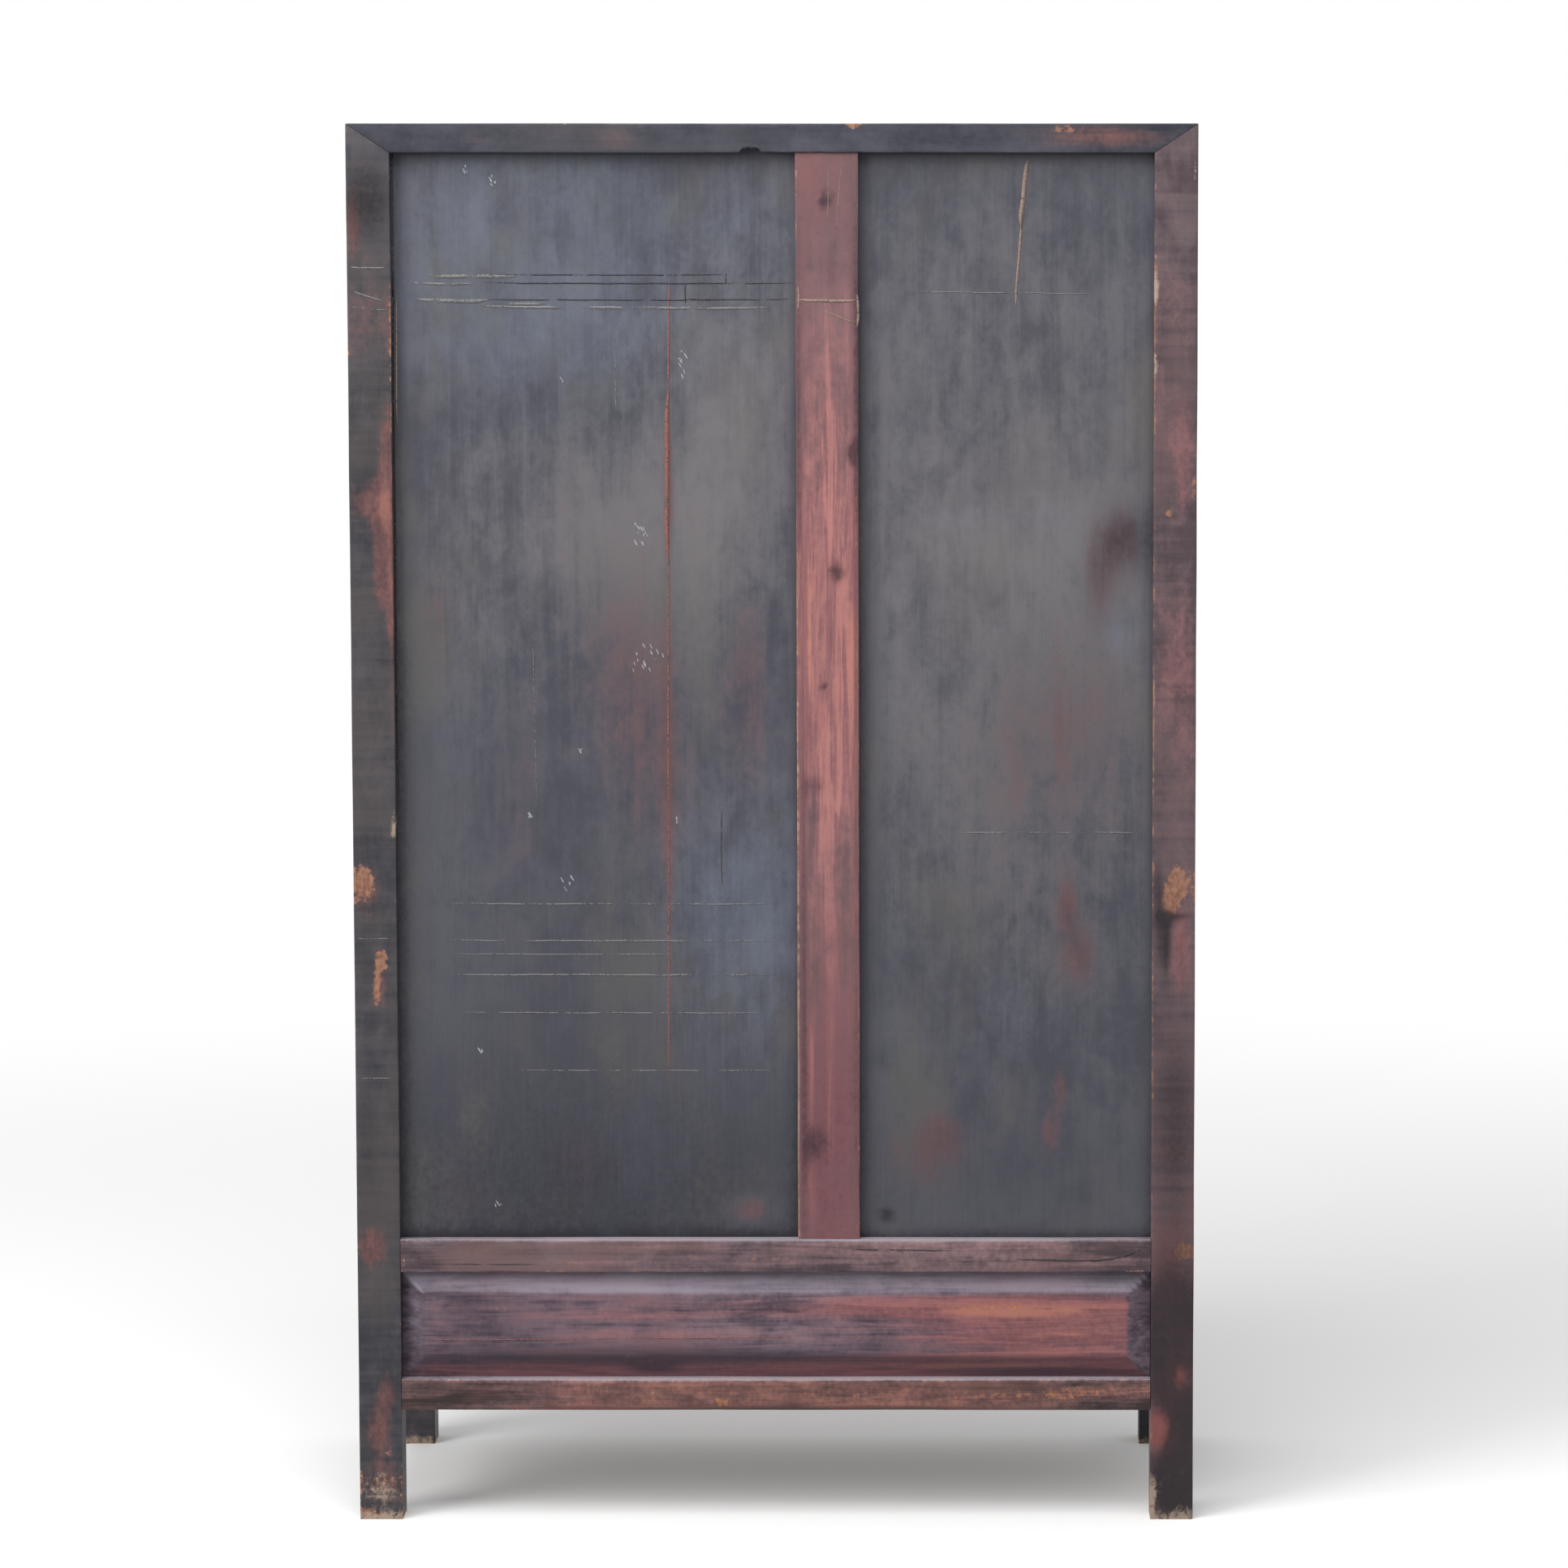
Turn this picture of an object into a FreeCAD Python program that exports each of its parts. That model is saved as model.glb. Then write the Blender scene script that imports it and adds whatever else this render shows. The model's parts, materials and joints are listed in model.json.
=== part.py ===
"""Chinese apothecary cabinet: a mitred post-and-rail frame, floating panels and a crate of drawers.

Millimetres.  +Z is up and the drawers face -Y, so the panelled back faces +Y.  The origin is on the
floor, under the middle of the cabinet with its drawer knobs.
"""

import FreeCAD
import os
import re

# Driving dimensions: name, size and what it measures.
DIMENSIONS = [
    ("cabinet_width", 1050, "over the side faces of the posts"),
    ("cabinet_depth", 460, "over the front and back faces of the posts"),
    ("cabinet_height", 1750, "floor to the top of the frame"),
    ("post_width", 54, "post, across the cabinet"),
    ("post_depth", 50, "post, front to back"),
    ("foot_height", 140, "floor to the underside of the bottom rails"),
    ("foot_bevel", 3, "bevel round the sole of each foot"),
    ("top_rail_height", 36, "mitred rails of the top frame"),
    ("waist_rail_height", 42, "rails under the tall panels"),
    ("bottom_rail_height", 40, "rails under the aprons"),
    ("side_rail_height", 36, "rails between the side panels"),
    ("rail_thickness", 40, "waist, bottom and side rails, outer face to inner face"),
    ("apron_height", 136, "clear height between the bottom and waist rails"),
    ("tenon_thickness", 14, "rail and mullion tenons"),
    ("tenon_shoulder", 6, "wood above, below or beside a tenon"),
    ("tenon_web", 3, "wood left between two tenons that cross in a post"),
    ("joint_clearance", 0.2, "round tenons, pegs, tongues and laps"),
    ("corner_peg", 14, "square peg that locks a three-way mitre"),
    ("corner_peg_cover", 8, "wood over the corner peg"),
    ("groove_depth", 8, "panel grooves"),
    ("panel_thickness", 10, "floating panels and the tongues of the aprons"),
    ("panel_recess", 16, "panel face behind the frame face"),
    ("panel_play", 1, "room for a panel to swell in its groove"),
    ("top_panel_recess", 6, "top panel below the top of the frame"),
    ("batten_width", 40, "cross battens under the top panel"),
    ("batten_offset", 160, "each batten, from the middle of the cabinet"),
    ("batten_dovetail", 4, "batten let into the top panel by a sliding dovetail"),
    ("mullion_width", 78, "batten between the two back panels"),
    ("mullion_offset", 67, "mullion, from the middle of the cabinet"),
    ("mullion_recess", 3, "mullion face behind the frame face"),
    ("mullion_thickness", 34, "mullion, front to back"),
    ("mullion_tenon", 18, "mullion tenons, length"),
    ("bevel_width", 28, "sloping border of a raised apron"),
    ("field_recess", 6, "raised field behind the frame face"),
    ("notch_width", 27, "worn finger notch under the back top rail"),
    ("notch_height", 6, "finger notch, height"),
    ("notch_offset", 27, "finger notch, from the middle of the cabinet"),
    ("board_thickness", 10, "drawer crate and dust boards"),
    ("board_ledge", 10, "dust board resting in a rail"),
    ("crate_recess", 2, "front edges of the crate behind the frame face"),
    ("crate_back_gap", 3, "crate to the mullion"),
    ("drawer_gap", 1, "drawer front to its cell, at the sides and top"),
    ("runner_clearance", 0.3, "drawer over the board it runs on"),
    ("drawer_setback", 1, "drawer front behind the crate"),
    ("drawer_back_gap", 12, "closed drawer to the back of the crate"),
    ("drawer_front_thickness", 18, "drawer front"),
    ("drawer_front_lip", 8, "front that covers the ends of the drawer sides"),
    ("drawer_side_thickness", 10, "drawer sides and back"),
    ("drawer_side_drop", 15, "drawer sides below the top of the front"),
    ("drawer_bottom_thickness", 8, "drawer bottom"),
    ("drawer_bottom_lift", 6, "drawer bottom above the lower edge of the sides"),
    ("drawer_groove", 4, "drawer bottom let into the front and sides"),
    ("rosette_width", 32, "octagonal plate under a knob, across its flats"),
    ("rosette_thickness", 2, "knob plate"),
    ("neck_width", 9, "knob neck, across its flats"),
    ("neck_length", 8, "knob neck"),
    ("head_width", 22, "knob head at its widest, across its flats"),
    ("head_flare", 4, "knob head, neck to rim"),
    ("head_rim", 1.5, "knob head, upright rim"),
    ("head_bevel", 4.5, "knob head, rim to crown"),
    ("crown_width", 12, "flat crown of a knob, across its flats"),
    ("shank_width", 6, "knob shank through the drawer front, across its flats"),
    ("rivet_width", 12, "shank end, spread over inside the drawer"),
    ("rivet_thickness", 2, "shank end"),
]

COLUMNS = 4
ROWS = 7
SIDE_PANELS = 3
LOWER_DRAWERS = 2

# Sizes and levels that follow from the driving dimensions.
FORMULAS = {
    "half_width": "cabinet_width / 2",
    "half_depth": "cabinet_depth / 2",
    "post_inner_x": "half_width - post_width",
    "post_inner_y": "half_depth - post_depth",
    "peg_x": "half_width - post_width / 2",
    "peg_y": "half_depth - post_depth / 2",
    "top_rail_bottom": "cabinet_height - top_rail_height",
    "top_panel_face": "cabinet_height - top_panel_recess",
    "top_panel_back": "top_panel_face - panel_thickness",
    "bottom_rail_top": "foot_height + bottom_rail_height",
    "waist_rail_bottom": "bottom_rail_top + apron_height",
    "waist_rail_top": "waist_rail_bottom + waist_rail_height",
    "upper_height": "top_rail_bottom - waist_rail_top",
    "groove_reach": "groove_depth - panel_play",
    "tenon_inset": "(rail_thickness - tenon_thickness) / 2",
    "tenon_stop": "(rail_thickness + tenon_thickness) / 2 + tenon_web",
    "mullion_left": "-mullion_offset - mullion_width / 2",
    "mullion_right": "mullion_width / 2 - mullion_offset",
    "mullion_back": "half_depth - mullion_recess",
    "mullion_front": "mullion_back - mullion_thickness",
    "mullion_middle": "(mullion_front + mullion_back) / 2",
    "notch_radius": "(notch_width ^ 2 / 4 + notch_height ^ 2) / (2 * notch_height)",
    "side_panel_height": f"(upper_height - {SIDE_PANELS - 1} * side_rail_height) / {SIDE_PANELS}",
    "side_panel_pitch": "side_panel_height + side_rail_height",
    "crate_front": "crate_recess - half_depth",
    "crate_back": "mullion_front - crate_back_gap",
    "crate_middle": "(crate_front + crate_back) / 2",
    "column_pitch": f"(2 * post_inner_x - board_thickness) / {COLUMNS}",
    "cell_width": "column_pitch - board_thickness",
    "row_pitch": f"(upper_height + board_thickness) / {ROWS}",
    "cell_height": "row_pitch - board_thickness",
    "lower_pitch": f"(2 * post_inner_x - board_thickness) / {LOWER_DRAWERS}",
    "lower_cell_width": "lower_pitch - board_thickness",
    "drawer_front_face": "drawer_setback",
    "drawer_front_back": "drawer_setback + drawer_front_thickness",
    "drawer_length": "crate_back - crate_front - drawer_back_gap",
    "drawer_floor": "runner_clearance + drawer_bottom_lift + drawer_bottom_thickness",
    "knob_reach": "rosette_thickness + neck_length + head_flare + head_rim + head_bevel",
    "carcass_shift": "(knob_reach - crate_recess - drawer_setback) / 2",
}

# Half the clear length of a rail, the post it enters and the outer face it lies in, by direction.
RAIL_END = {"x": "post_inner_x", "y": "post_inner_y"}
RAIL_POST = {"x": "post_width", "y": "post_depth"}
OUTER_FACE = {"x": "half_width", "y": "half_depth"}
ACROSS = {"x": "y", "y": "x"}

# Steps of a knob from inside the drawer outwards: inner width, outer width and length.
KNOB_STEPS = [
    ("rivet_width", "rivet_width", "rivet_thickness"),
    ("shank_width", "shank_width", "drawer_front_thickness"),
    ("rosette_width", "rosette_width", "rosette_thickness"),
    ("neck_width", "neck_width", "neck_length"),
    ("neck_width", "head_width", "head_flare"),
    ("head_width", "head_width", "head_rim"),
    ("head_width", "crown_width", "head_bevel"),
]

SIDES = {"left": -1, "right": 1}
FACES = {"front": -1, "back": 1}

doc = FreeCAD.newDocument("apothecary_cabinet")
pieces = []


def make_sheet():
    """Puts the driving dimensions in a spreadsheet, one named cell each."""
    sheet = doc.addObject("Spreadsheet::Sheet", "dims")
    for row, (alias, size, meaning) in enumerate(DIMENSIONS, start=1):
        sheet.set(f"A{row}", meaning)
        sheet.set(f"B{row}", str(size))
        sheet.setAlias(f"B{row}", alias)
    doc.recompute()


def expand(formula):
    """Turns the plain names of a formula into cells of the sheet."""

    def cell(match):
        word = match.group(0)
        return f"({expand(FORMULAS[word])})" if word in FORMULAS else f"dims.{word}"

    return re.sub(r"[a-z]\w*", cell, formula)


def bind(item, prop, formula):
    """Ties one property of an object to a formula."""
    item.setExpression(prop, expand(formula))


def both(half):
    """A span that reaches the same distance to each side of the middle."""
    return f"-({half})", half


def outward(side, near, far):
    """A span from near to far, measured away from the middle on one side."""
    return (near, far) if side > 0 else (f"-({far})", f"-({near})")


def grown(spans, amount):
    """The spans with an amount added at both ends."""
    return {axis: (f"{low} - ({amount})", f"{high} + ({amount})") for axis, (low, high) in spans.items()}


def board(name, x, y, z):
    """A rectangular piece between two limits along each axis."""
    box = doc.addObject("Part::Box", name)
    for size, axis, (low, high) in zip(("Length", "Width", "Height"), "xyz", (x, y, z)):
        bind(box, size, f"({high}) - ({low})")
        bind(box, f"Placement.Base.{axis}", low)
    return box


def taper(name, axis, span, start, end):
    """A block that changes along one axis from a start rectangle to an end rectangle.

    A rectangle is its two spans across the axis, in x, y, z order.
    """
    turns = {
        "x": FreeCAD.Rotation(FreeCAD.Vector(0, 0, 1), -90),
        "y": FreeCAD.Rotation(),
        "z": FreeCAD.Rotation(FreeCAD.Vector(1, 0, 0), 90),
    }
    wedge = doc.addObject("Part::Wedge", name)
    wedge.Placement = FreeCAD.Placement(FreeCAD.Vector(), turns[axis])
    bind(wedge, "Ymin", span[0])
    bind(wedge, "Ymax", span[1])
    for mark, (first, second) in (("", start), ("2", end)):
        # The turn reverses the first span of an x taper and the second of a z taper.
        first = outward(-1, *first) if axis == "x" else first
        second = outward(-1, *second) if axis == "z" else second
        bind(wedge, f"X{mark}min", first[0])
        bind(wedge, f"X{mark}max", first[1])
        bind(wedge, f"Z{mark}min", second[0])
        bind(wedge, f"Z{mark}max", second[1])
    return wedge


def fuse(name, items):
    """One solid from pieces that overlap or touch."""
    result = doc.addObject("Part::MultiFuse", name)
    result.Shapes = items
    result.Refine = True
    return result


def cut(name, blank, tools):
    """A blank with mortises, grooves or holes taken out of it."""
    result = doc.addObject("Part::Cut", name)
    result.Base = blank
    result.Tool = tools[0] if len(tools) == 1 else fuse(f"{name}_tools", tools)
    result.Refine = True
    return result


def group(name, items):
    """Separate solids that share one name."""
    result = doc.addObject("Part::Compound", name)
    result.Links = items
    return result


def publish(label, items, x="0", y="0", z="0"):
    """Names a finished sub-part and puts it in its place in the cabinet."""
    piece = group(label, items)
    piece.Label = label
    bind(piece, "Placement.Base.x", x)
    bind(piece, "Placement.Base.y", f"{y} + carcass_shift")
    bind(piece, "Placement.Base.z", z)
    pieces.append(piece)


class Panel:
    """A floating panel and the groove that takes its edges."""

    def __init__(self, name, thin, spans):
        edges = {axis: span for axis, span in spans.items() if axis != thin}
        faces = {thin: spans[thin]}
        self.solid = board(f"{name}_blank", **spans)
        self.groove = board(f"{name}_groove", **grown(faces, "joint_clearance"), **grown(edges, "panel_play"))


class Rail:
    """A rail flush with the outer faces of its two posts, with a stopped tenon at each end."""

    def __init__(self, name, along, side, low, high):
        across = ACROSS[along]
        face = OUTER_FACE[across]
        body = {
            along: both(RAIL_END[along]),
            across: outward(side, f"{face} - rail_thickness", face),
            "z": (low, high),
        }
        tenons = {
            along: both(f"{RAIL_END[along]} + {RAIL_POST[along]} - tenon_stop"),
            across: outward(side, f"{face} - rail_thickness + tenon_inset", f"{face} - tenon_inset"),
            "z": (f"{low} + tenon_shoulder", f"{high} - tenon_shoulder"),
        }
        parts = [board(f"{name}_body", **body), board(f"{name}_tenons", **tenons)]
        self.solid = fuse(f"{name}_blank", parts)
        self.mortise = board(f"{name}_mortise", **grown(tenons, "joint_clearance"))


def back_panel(name, x, z):
    """A panel in the back frame."""
    y = ("half_depth - panel_recess - panel_thickness", "half_depth - panel_recess")
    return Panel(name, "y", {"x": x, "y": y, "z": z})


def side_panel(name, side, z):
    """A panel in a side frame."""
    x = outward(side, "half_width - panel_recess - panel_thickness", "half_width - panel_recess")
    return Panel(name, "x", {"x": x, "y": both("post_inner_y + groove_reach"), "z": z})


def raised(name, panel, thin, side):
    """A panel with a bevelled raised field that fills the opening between posts and rails."""
    face = OUTER_FACE[thin]
    half = RAIL_END[ACROSS[thin]]
    span = outward(side, f"{face} - panel_recess", f"{face} - field_recess")
    rectangles = []
    for inset in ("joint_clearance", "bevel_width"):
        upright = (f"bottom_rail_top + {inset}", f"waist_rail_bottom - {inset}")
        rectangles.append((both(f"{half} - {inset}"), upright))
    if side < 0:
        rectangles.reverse()
    field = taper(f"{name}_field", thin, span, *rectangles)
    return fuse(f"{name}_raised", [panel.solid, field])


def corner_peg_spans(side, face):
    """The square peg on top of a post, hidden inside the three-way mitre."""
    return {
        "x": outward(side, "peg_x - corner_peg / 2", "peg_x + corner_peg / 2"),
        "y": outward(face, "peg_y - corner_peg / 2", "peg_y + corner_peg / 2"),
        "z": ("top_rail_bottom - corner_peg", "cabinet_height - corner_peg_cover"),
    }


def post_blank(name, side, face):
    """A square post with a bevelled foot, and a pyramid and peg at its head for the mitre."""
    x = outward(side, "post_inner_x", "half_width")
    y = outward(face, "post_inner_y", "half_depth")
    sole = (
        outward(side, "post_inner_x + foot_bevel", "half_width - foot_bevel"),
        outward(face, "post_inner_y + foot_bevel", "half_depth - foot_bevel"),
    )
    tip = outward(side, "half_width", "half_width"), outward(face, "half_depth", "half_depth")
    parts = [
        taper(f"{name}_foot", "z", ("0", "foot_bevel"), sole, (x, y)),
        board(f"{name}_shaft", x, y, ("foot_bevel", "top_rail_bottom")),
        taper(f"{name}_head", "z", ("top_rail_bottom", "cabinet_height"), (x, y), tip),
        board(f"{name}_peg", **corner_peg_spans(side, face)),
    ]
    return fuse(f"{name}_blank", parts)


def top_rail_blank(name, along, side):
    """A rail of the top frame, mitred at each end in plan to the next rail and in face to the post."""
    across = ACROSS[along]
    long = both(OUTER_FACE[along])
    short = both(RAIL_END[along])
    height = ("top_rail_bottom", "cabinet_height")
    width = outward(side, RAIL_END[across], OUTER_FACE[across])
    plan_ends = [(short, height), (long, height)]
    if side < 0:
        plan_ends.reverse()
    plan = taper(f"{name}_plan", across, width, *plan_ends)
    lower, upper = ((short, width), (long, width)) if along == "x" else ((width, short), (width, long))
    face = taper(f"{name}_face", "z", height, lower, upper)
    rail = doc.addObject("Part::MultiCommon", f"{name}_blank")
    rail.Shapes = [plan, face]
    return rail


def dust_board(name, top):
    """A board let into the inner edges of four rails, notched round the posts, and its rebate."""
    spans = {
        "x": both("half_width - rail_thickness + board_ledge"),
        "y": both("half_depth - rail_thickness + board_ledge"),
    }
    blank = board(f"{name}_blank", **spans, z=(f"{top} - board_thickness", top))
    rebate_z = (f"{top} - board_thickness", f"{top} + panel_play")
    rebate = board(f"{name}_rebate", **grown(spans, "panel_play"), z=rebate_z)
    notches = []
    for side_name, side in SIDES.items():
        for face_name, face in FACES.items():
            x = outward(side, "post_inner_x - joint_clearance", "half_width")
            y = outward(face, "post_inner_y - joint_clearance", "half_depth")
            notches.append(board(f"{name}_notch_{face_name}_{side_name}", x, y, rebate_z))
    return cut(name, blank, notches), rebate


def top_battens():
    """Two battens across the underside of the top panel, and the dovetail grooves they slide into."""
    length = both("post_inner_y")
    through = both("post_inner_y + groove_depth")
    battens = []
    grooves = []
    for name, side in SIDES.items():

        def across(inset):
            half = f"(batten_width / 2 - ({inset}))"
            return outward(side, f"batten_offset - {half}", f"batten_offset + {half}")

        body = board(f"batten_body_{name}", across("0"), length, ("top_rail_bottom", "top_panel_back"))
        tail_z = ("top_panel_back", "top_panel_back + batten_dovetail")
        tail_ends = [(across(inset), length) for inset in ("batten_dovetail", "0")]
        tail = taper(f"batten_tail_{name}", "z", tail_z, *tail_ends)
        battens.append(fuse(f"batten_{name}", [body, tail]))
        groove_z = ("top_panel_back", "top_panel_back + batten_dovetail + joint_clearance")
        groove_insets = ("batten_dovetail - joint_clearance", "-joint_clearance")
        groove_ends = [(across(inset), through) for inset in groove_insets]
        grooves.append(taper(f"batten_groove_{name}", "z", groove_z, *groove_ends))
    return battens, grooves


def build_carcass():
    """Posts, rails, panels, mullion, aprons and dust boards."""
    tall = ("waist_rail_top - groove_reach", "top_rail_bottom + groove_reach")
    apron_z = ("bottom_rail_top - groove_reach", "waist_rail_bottom + groove_reach")
    wide_x = ("mullion_right - groove_reach", "post_inner_x + groove_reach")
    narrow_x = ("-post_inner_x - groove_reach", "mullion_left + groove_reach")
    wide = back_panel("back_wide", wide_x, tall)
    narrow = back_panel("back_narrow", narrow_x, tall)
    back_apron = back_panel("back_apron", both("post_inner_x + groove_reach"), apron_z)
    publish("back_panel_wide", [wide.solid])
    publish("back_panel_narrow", [narrow.solid])
    publish("back_apron_panel", [raised("back_apron", back_apron, "y", 1)])

    mullion_spans = {
        "x": ("mullion_left", "mullion_right"),
        "y": ("mullion_front", "mullion_back"),
        "z": ("waist_rail_top", "top_rail_bottom"),
    }
    mullion_tenons = {
        "x": ("mullion_left + tenon_shoulder", "mullion_right - tenon_shoulder"),
        "y": ("mullion_middle - tenon_thickness / 2", "mullion_middle + tenon_thickness / 2"),
        "z": ("waist_rail_top - mullion_tenon", "top_rail_bottom + mullion_tenon"),
    }
    mullion_parts = [board("mullion_body", **mullion_spans), board("mullion_tenons", **mullion_tenons)]
    mullion = fuse("mullion_blank", mullion_parts)
    mullion_mortise = board("mullion_mortise", **grown(mullion_tenons, "joint_clearance"))
    publish("back_mullion", [cut("mullion", mullion, [wide.groove, narrow.groove])])

    top_panel_spans = {
        "x": both("post_inner_x + groove_reach"),
        "y": both("post_inner_y + groove_reach"),
        "z": ("top_panel_back", "top_panel_face"),
    }
    top_panel = Panel("top", "z", top_panel_spans)
    battens, dovetails = top_battens()
    publish("top_panel", [cut("top_panel_grooved", top_panel.solid, dovetails)])
    publish("top_battens", battens)

    waist_board, waist_rebate = dust_board("waist_board", "waist_rail_top")
    floor_board, floor_rebate = dust_board("floor_board", "bottom_rail_top")
    publish("dust_boards", [waist_board, floor_board])

    pegs = {}
    for side_name, side in SIDES.items():
        for face_name, face in FACES.items():
            spans = grown(corner_peg_spans(side, face), "joint_clearance")
            pegs[face_name, side_name] = board(f"peg_mortise_{face_name}_{side_name}", **spans)

    notch = doc.addObject("Part::Cylinder", "finger_notch")
    notch.Placement = FreeCAD.Placement(FreeCAD.Vector(), FreeCAD.Rotation(FreeCAD.Vector(1, 0, 0), 90))
    bind(notch, "Radius", "notch_radius")
    bind(notch, "Height", "panel_recess")
    bind(notch, "Placement.Base.x", "notch_offset")
    bind(notch, "Placement.Base.y", "half_depth")
    bind(notch, "Placement.Base.z", "top_rail_bottom + notch_height - notch_radius")

    waist_level = ("waist_rail_bottom", "waist_rail_top")
    bottom_level = ("foot_height", "bottom_rail_top")
    mortises = {}
    grooves = {"front": [], "back": [wide.groove, narrow.groove, back_apron.groove]}

    for name, face in FACES.items():
        waist = Rail(f"waist_{name}", "x", face, *waist_level)
        bottom = Rail(f"bottom_{name}", "x", face, *bottom_level)
        waist_cuts = [waist_rebate]
        bottom_cuts = [floor_rebate]
        top_cuts = [pegs[name, "left"], pegs[name, "right"], top_panel.groove]
        if name == "back":
            waist_cuts += [wide.groove, narrow.groove, back_apron.groove, mullion_mortise]
            bottom_cuts += [back_apron.groove]
            top_cuts += [wide.groove, narrow.groove, mullion_mortise, notch]
        mortises[name] = [waist.mortise, bottom.mortise]
        publish(f"waist_rail_{name}", [cut(f"waist_{name}", waist.solid, waist_cuts)])
        publish(f"bottom_rail_{name}", [cut(f"bottom_{name}", bottom.solid, bottom_cuts)])
        top_rail = top_rail_blank(f"top_{name}", "x", face)
        publish(f"top_rail_{name}", [cut(f"top_{name}", top_rail, top_cuts)])

    middle_rails = []
    side_aprons = []
    for name, side in SIDES.items():
        apron = side_panel(f"apron_{name}", side, apron_z)
        side_aprons.append(raised(f"apron_{name}", apron, "x", side))
        panels = []
        for level in range(SIDE_PANELS):
            low = f"waist_rail_top + {level} * side_panel_pitch"
            z = (f"{low} - groove_reach", f"{low} + side_panel_height + groove_reach")
            panels.append(side_panel(f"side_panel_{name}_{level}", side, z))
        publish(f"side_panels_{name}", [panel.solid for panel in panels])

        waist = Rail(f"waist_{name}", "y", side, *waist_level)
        bottom = Rail(f"bottom_{name}", "y", side, *bottom_level)
        waist_cuts = [waist_rebate, panels[0].groove, apron.groove]
        publish(f"waist_rail_{name}", [cut(f"waist_{name}", waist.solid, waist_cuts)])
        publish(f"bottom_rail_{name}", [cut(f"bottom_{name}", bottom.solid, [floor_rebate, apron.groove])])

        mortises[name] = [waist.mortise, bottom.mortise]
        for level in range(1, SIDE_PANELS):
            high = f"waist_rail_top + {level} * side_panel_pitch"
            rail = Rail(f"side_rail_{name}_{level}", "y", side, f"{high} - side_rail_height", high)
            beside = [panels[level - 1].groove, panels[level].groove]
            middle_rails.append(cut(f"side_rail_{name}_{level}_grooved", rail.solid, beside))
            mortises[name].append(rail.mortise)

        top_cuts = [pegs["front", name], pegs["back", name], top_panel.groove, panels[-1].groove]
        top_rail = top_rail_blank(f"top_{name}", "y", side)
        publish(f"top_rail_{name}", [cut(f"top_{name}", top_rail, top_cuts)])
        grooves[name] = [panel.groove for panel in panels] + [apron.groove]
    publish("side_rails", middle_rails)
    publish("side_apron_panels", side_aprons)

    for side_name, side in SIDES.items():
        for face_name, face in FACES.items():
            name = f"{face_name}_{side_name}"
            tools = mortises[face_name] + mortises[side_name] + grooves[face_name] + grooves[side_name]
            publish(f"post_{name}", [cut(f"{name}_post", post_blank(name, side, face), tools)])


def build_crate():
    """Uprights and shelves that lap each other like an egg crate, and the uprights of the lower bay."""
    crate_x = both("post_inner_x")
    crate_y = ("crate_front", "crate_back")
    upright_x = []
    for column in range(COLUMNS + 1):
        low = f"{column} * column_pitch - post_inner_x"
        upright_x.append((low, f"{low} + board_thickness"))
    shelf_z = []
    for row in range(1, ROWS):
        high = f"waist_rail_top + {row} * row_pitch"
        shelf_z.append((f"{high} - board_thickness", high))

    crate_z = ("waist_rail_top", "top_rail_bottom")
    shelf_slots = []
    for count, span in enumerate(upright_x):
        slot = {"x": span, "y": ("crate_middle", "crate_back"), "z": crate_z}
        shelf_slots.append(board(f"shelf_slot_{count}", **grown(slot, "joint_clearance")))
    upright_slots = []
    for count, span in enumerate(shelf_z):
        slot = {"x": crate_x, "y": ("crate_front", "crate_middle"), "z": span}
        upright_slots.append(board(f"upright_slot_{count}", **grown(slot, "joint_clearance")))

    uprights = []
    for count, span in enumerate(upright_x):
        blank = board(f"upright_{count}_blank", span, crate_y, crate_z)
        uprights.append(cut(f"upright_{count}", blank, upright_slots))
    publish("crate_uprights", uprights)

    shelves = []
    for count, span in enumerate(shelf_z):
        blank = board(f"shelf_{count}_blank", crate_x, crate_y, span)
        shelves.append(cut(f"shelf_{count}", blank, shelf_slots))
    publish("crate_shelves", shelves)

    lower = []
    for count in range(LOWER_DRAWERS + 1):
        low = f"{count} * lower_pitch - post_inner_x"
        x = (low, f"{low} + board_thickness")
        lower.append(board(f"lower_upright_{count}", x, crate_y, ("bottom_rail_top", "waist_rail_bottom")))
    publish("lower_uprights", lower)


class Knob:
    """An eight-sided knob on a rosette, its shank riveted over inside the drawer, and the shank's hole."""

    def __init__(self, name, x, z):
        inner = "drawer_front_back + rivet_thickness"
        steps = []
        for count, (inner_width, outer_width, length) in enumerate(KNOB_STEPS):
            outer = f"{inner} - {length}"
            ends = [(both(f"{width} / 2"),) * 2 for width in (outer_width, inner_width)]
            steps.append(taper(f"{name}_step_{count}", "y", (outer, inner), *ends))
            inner = outer
        across = both("shank_width / 2 + joint_clearance")
        shank = board(f"{name}_shank", across, ("0", "drawer_front_back"), across)
        self.solid = self.eight_sided(name, fuse(f"{name}_square", steps), x, z)
        self.hole = self.eight_sided(f"{name}_hole", shank, x, z)

    def eight_sided(self, name, square, x, z):
        """Cuts the corners off a square form about the knob's axis and puts it in its place."""
        turned = group(f"{name}_turned", [square])
        turned.Placement = FreeCAD.Placement(FreeCAD.Vector(), FreeCAD.Rotation(FreeCAD.Vector(0, 1, 0), 45))
        octagon = doc.addObject("Part::MultiCommon", f"{name}_octagon")
        octagon.Shapes = [square, turned]
        result = group(name, [octagon])
        bind(result, "Placement.Base.x", x)
        bind(result, "Placement.Base.z", z)
        return result


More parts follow.
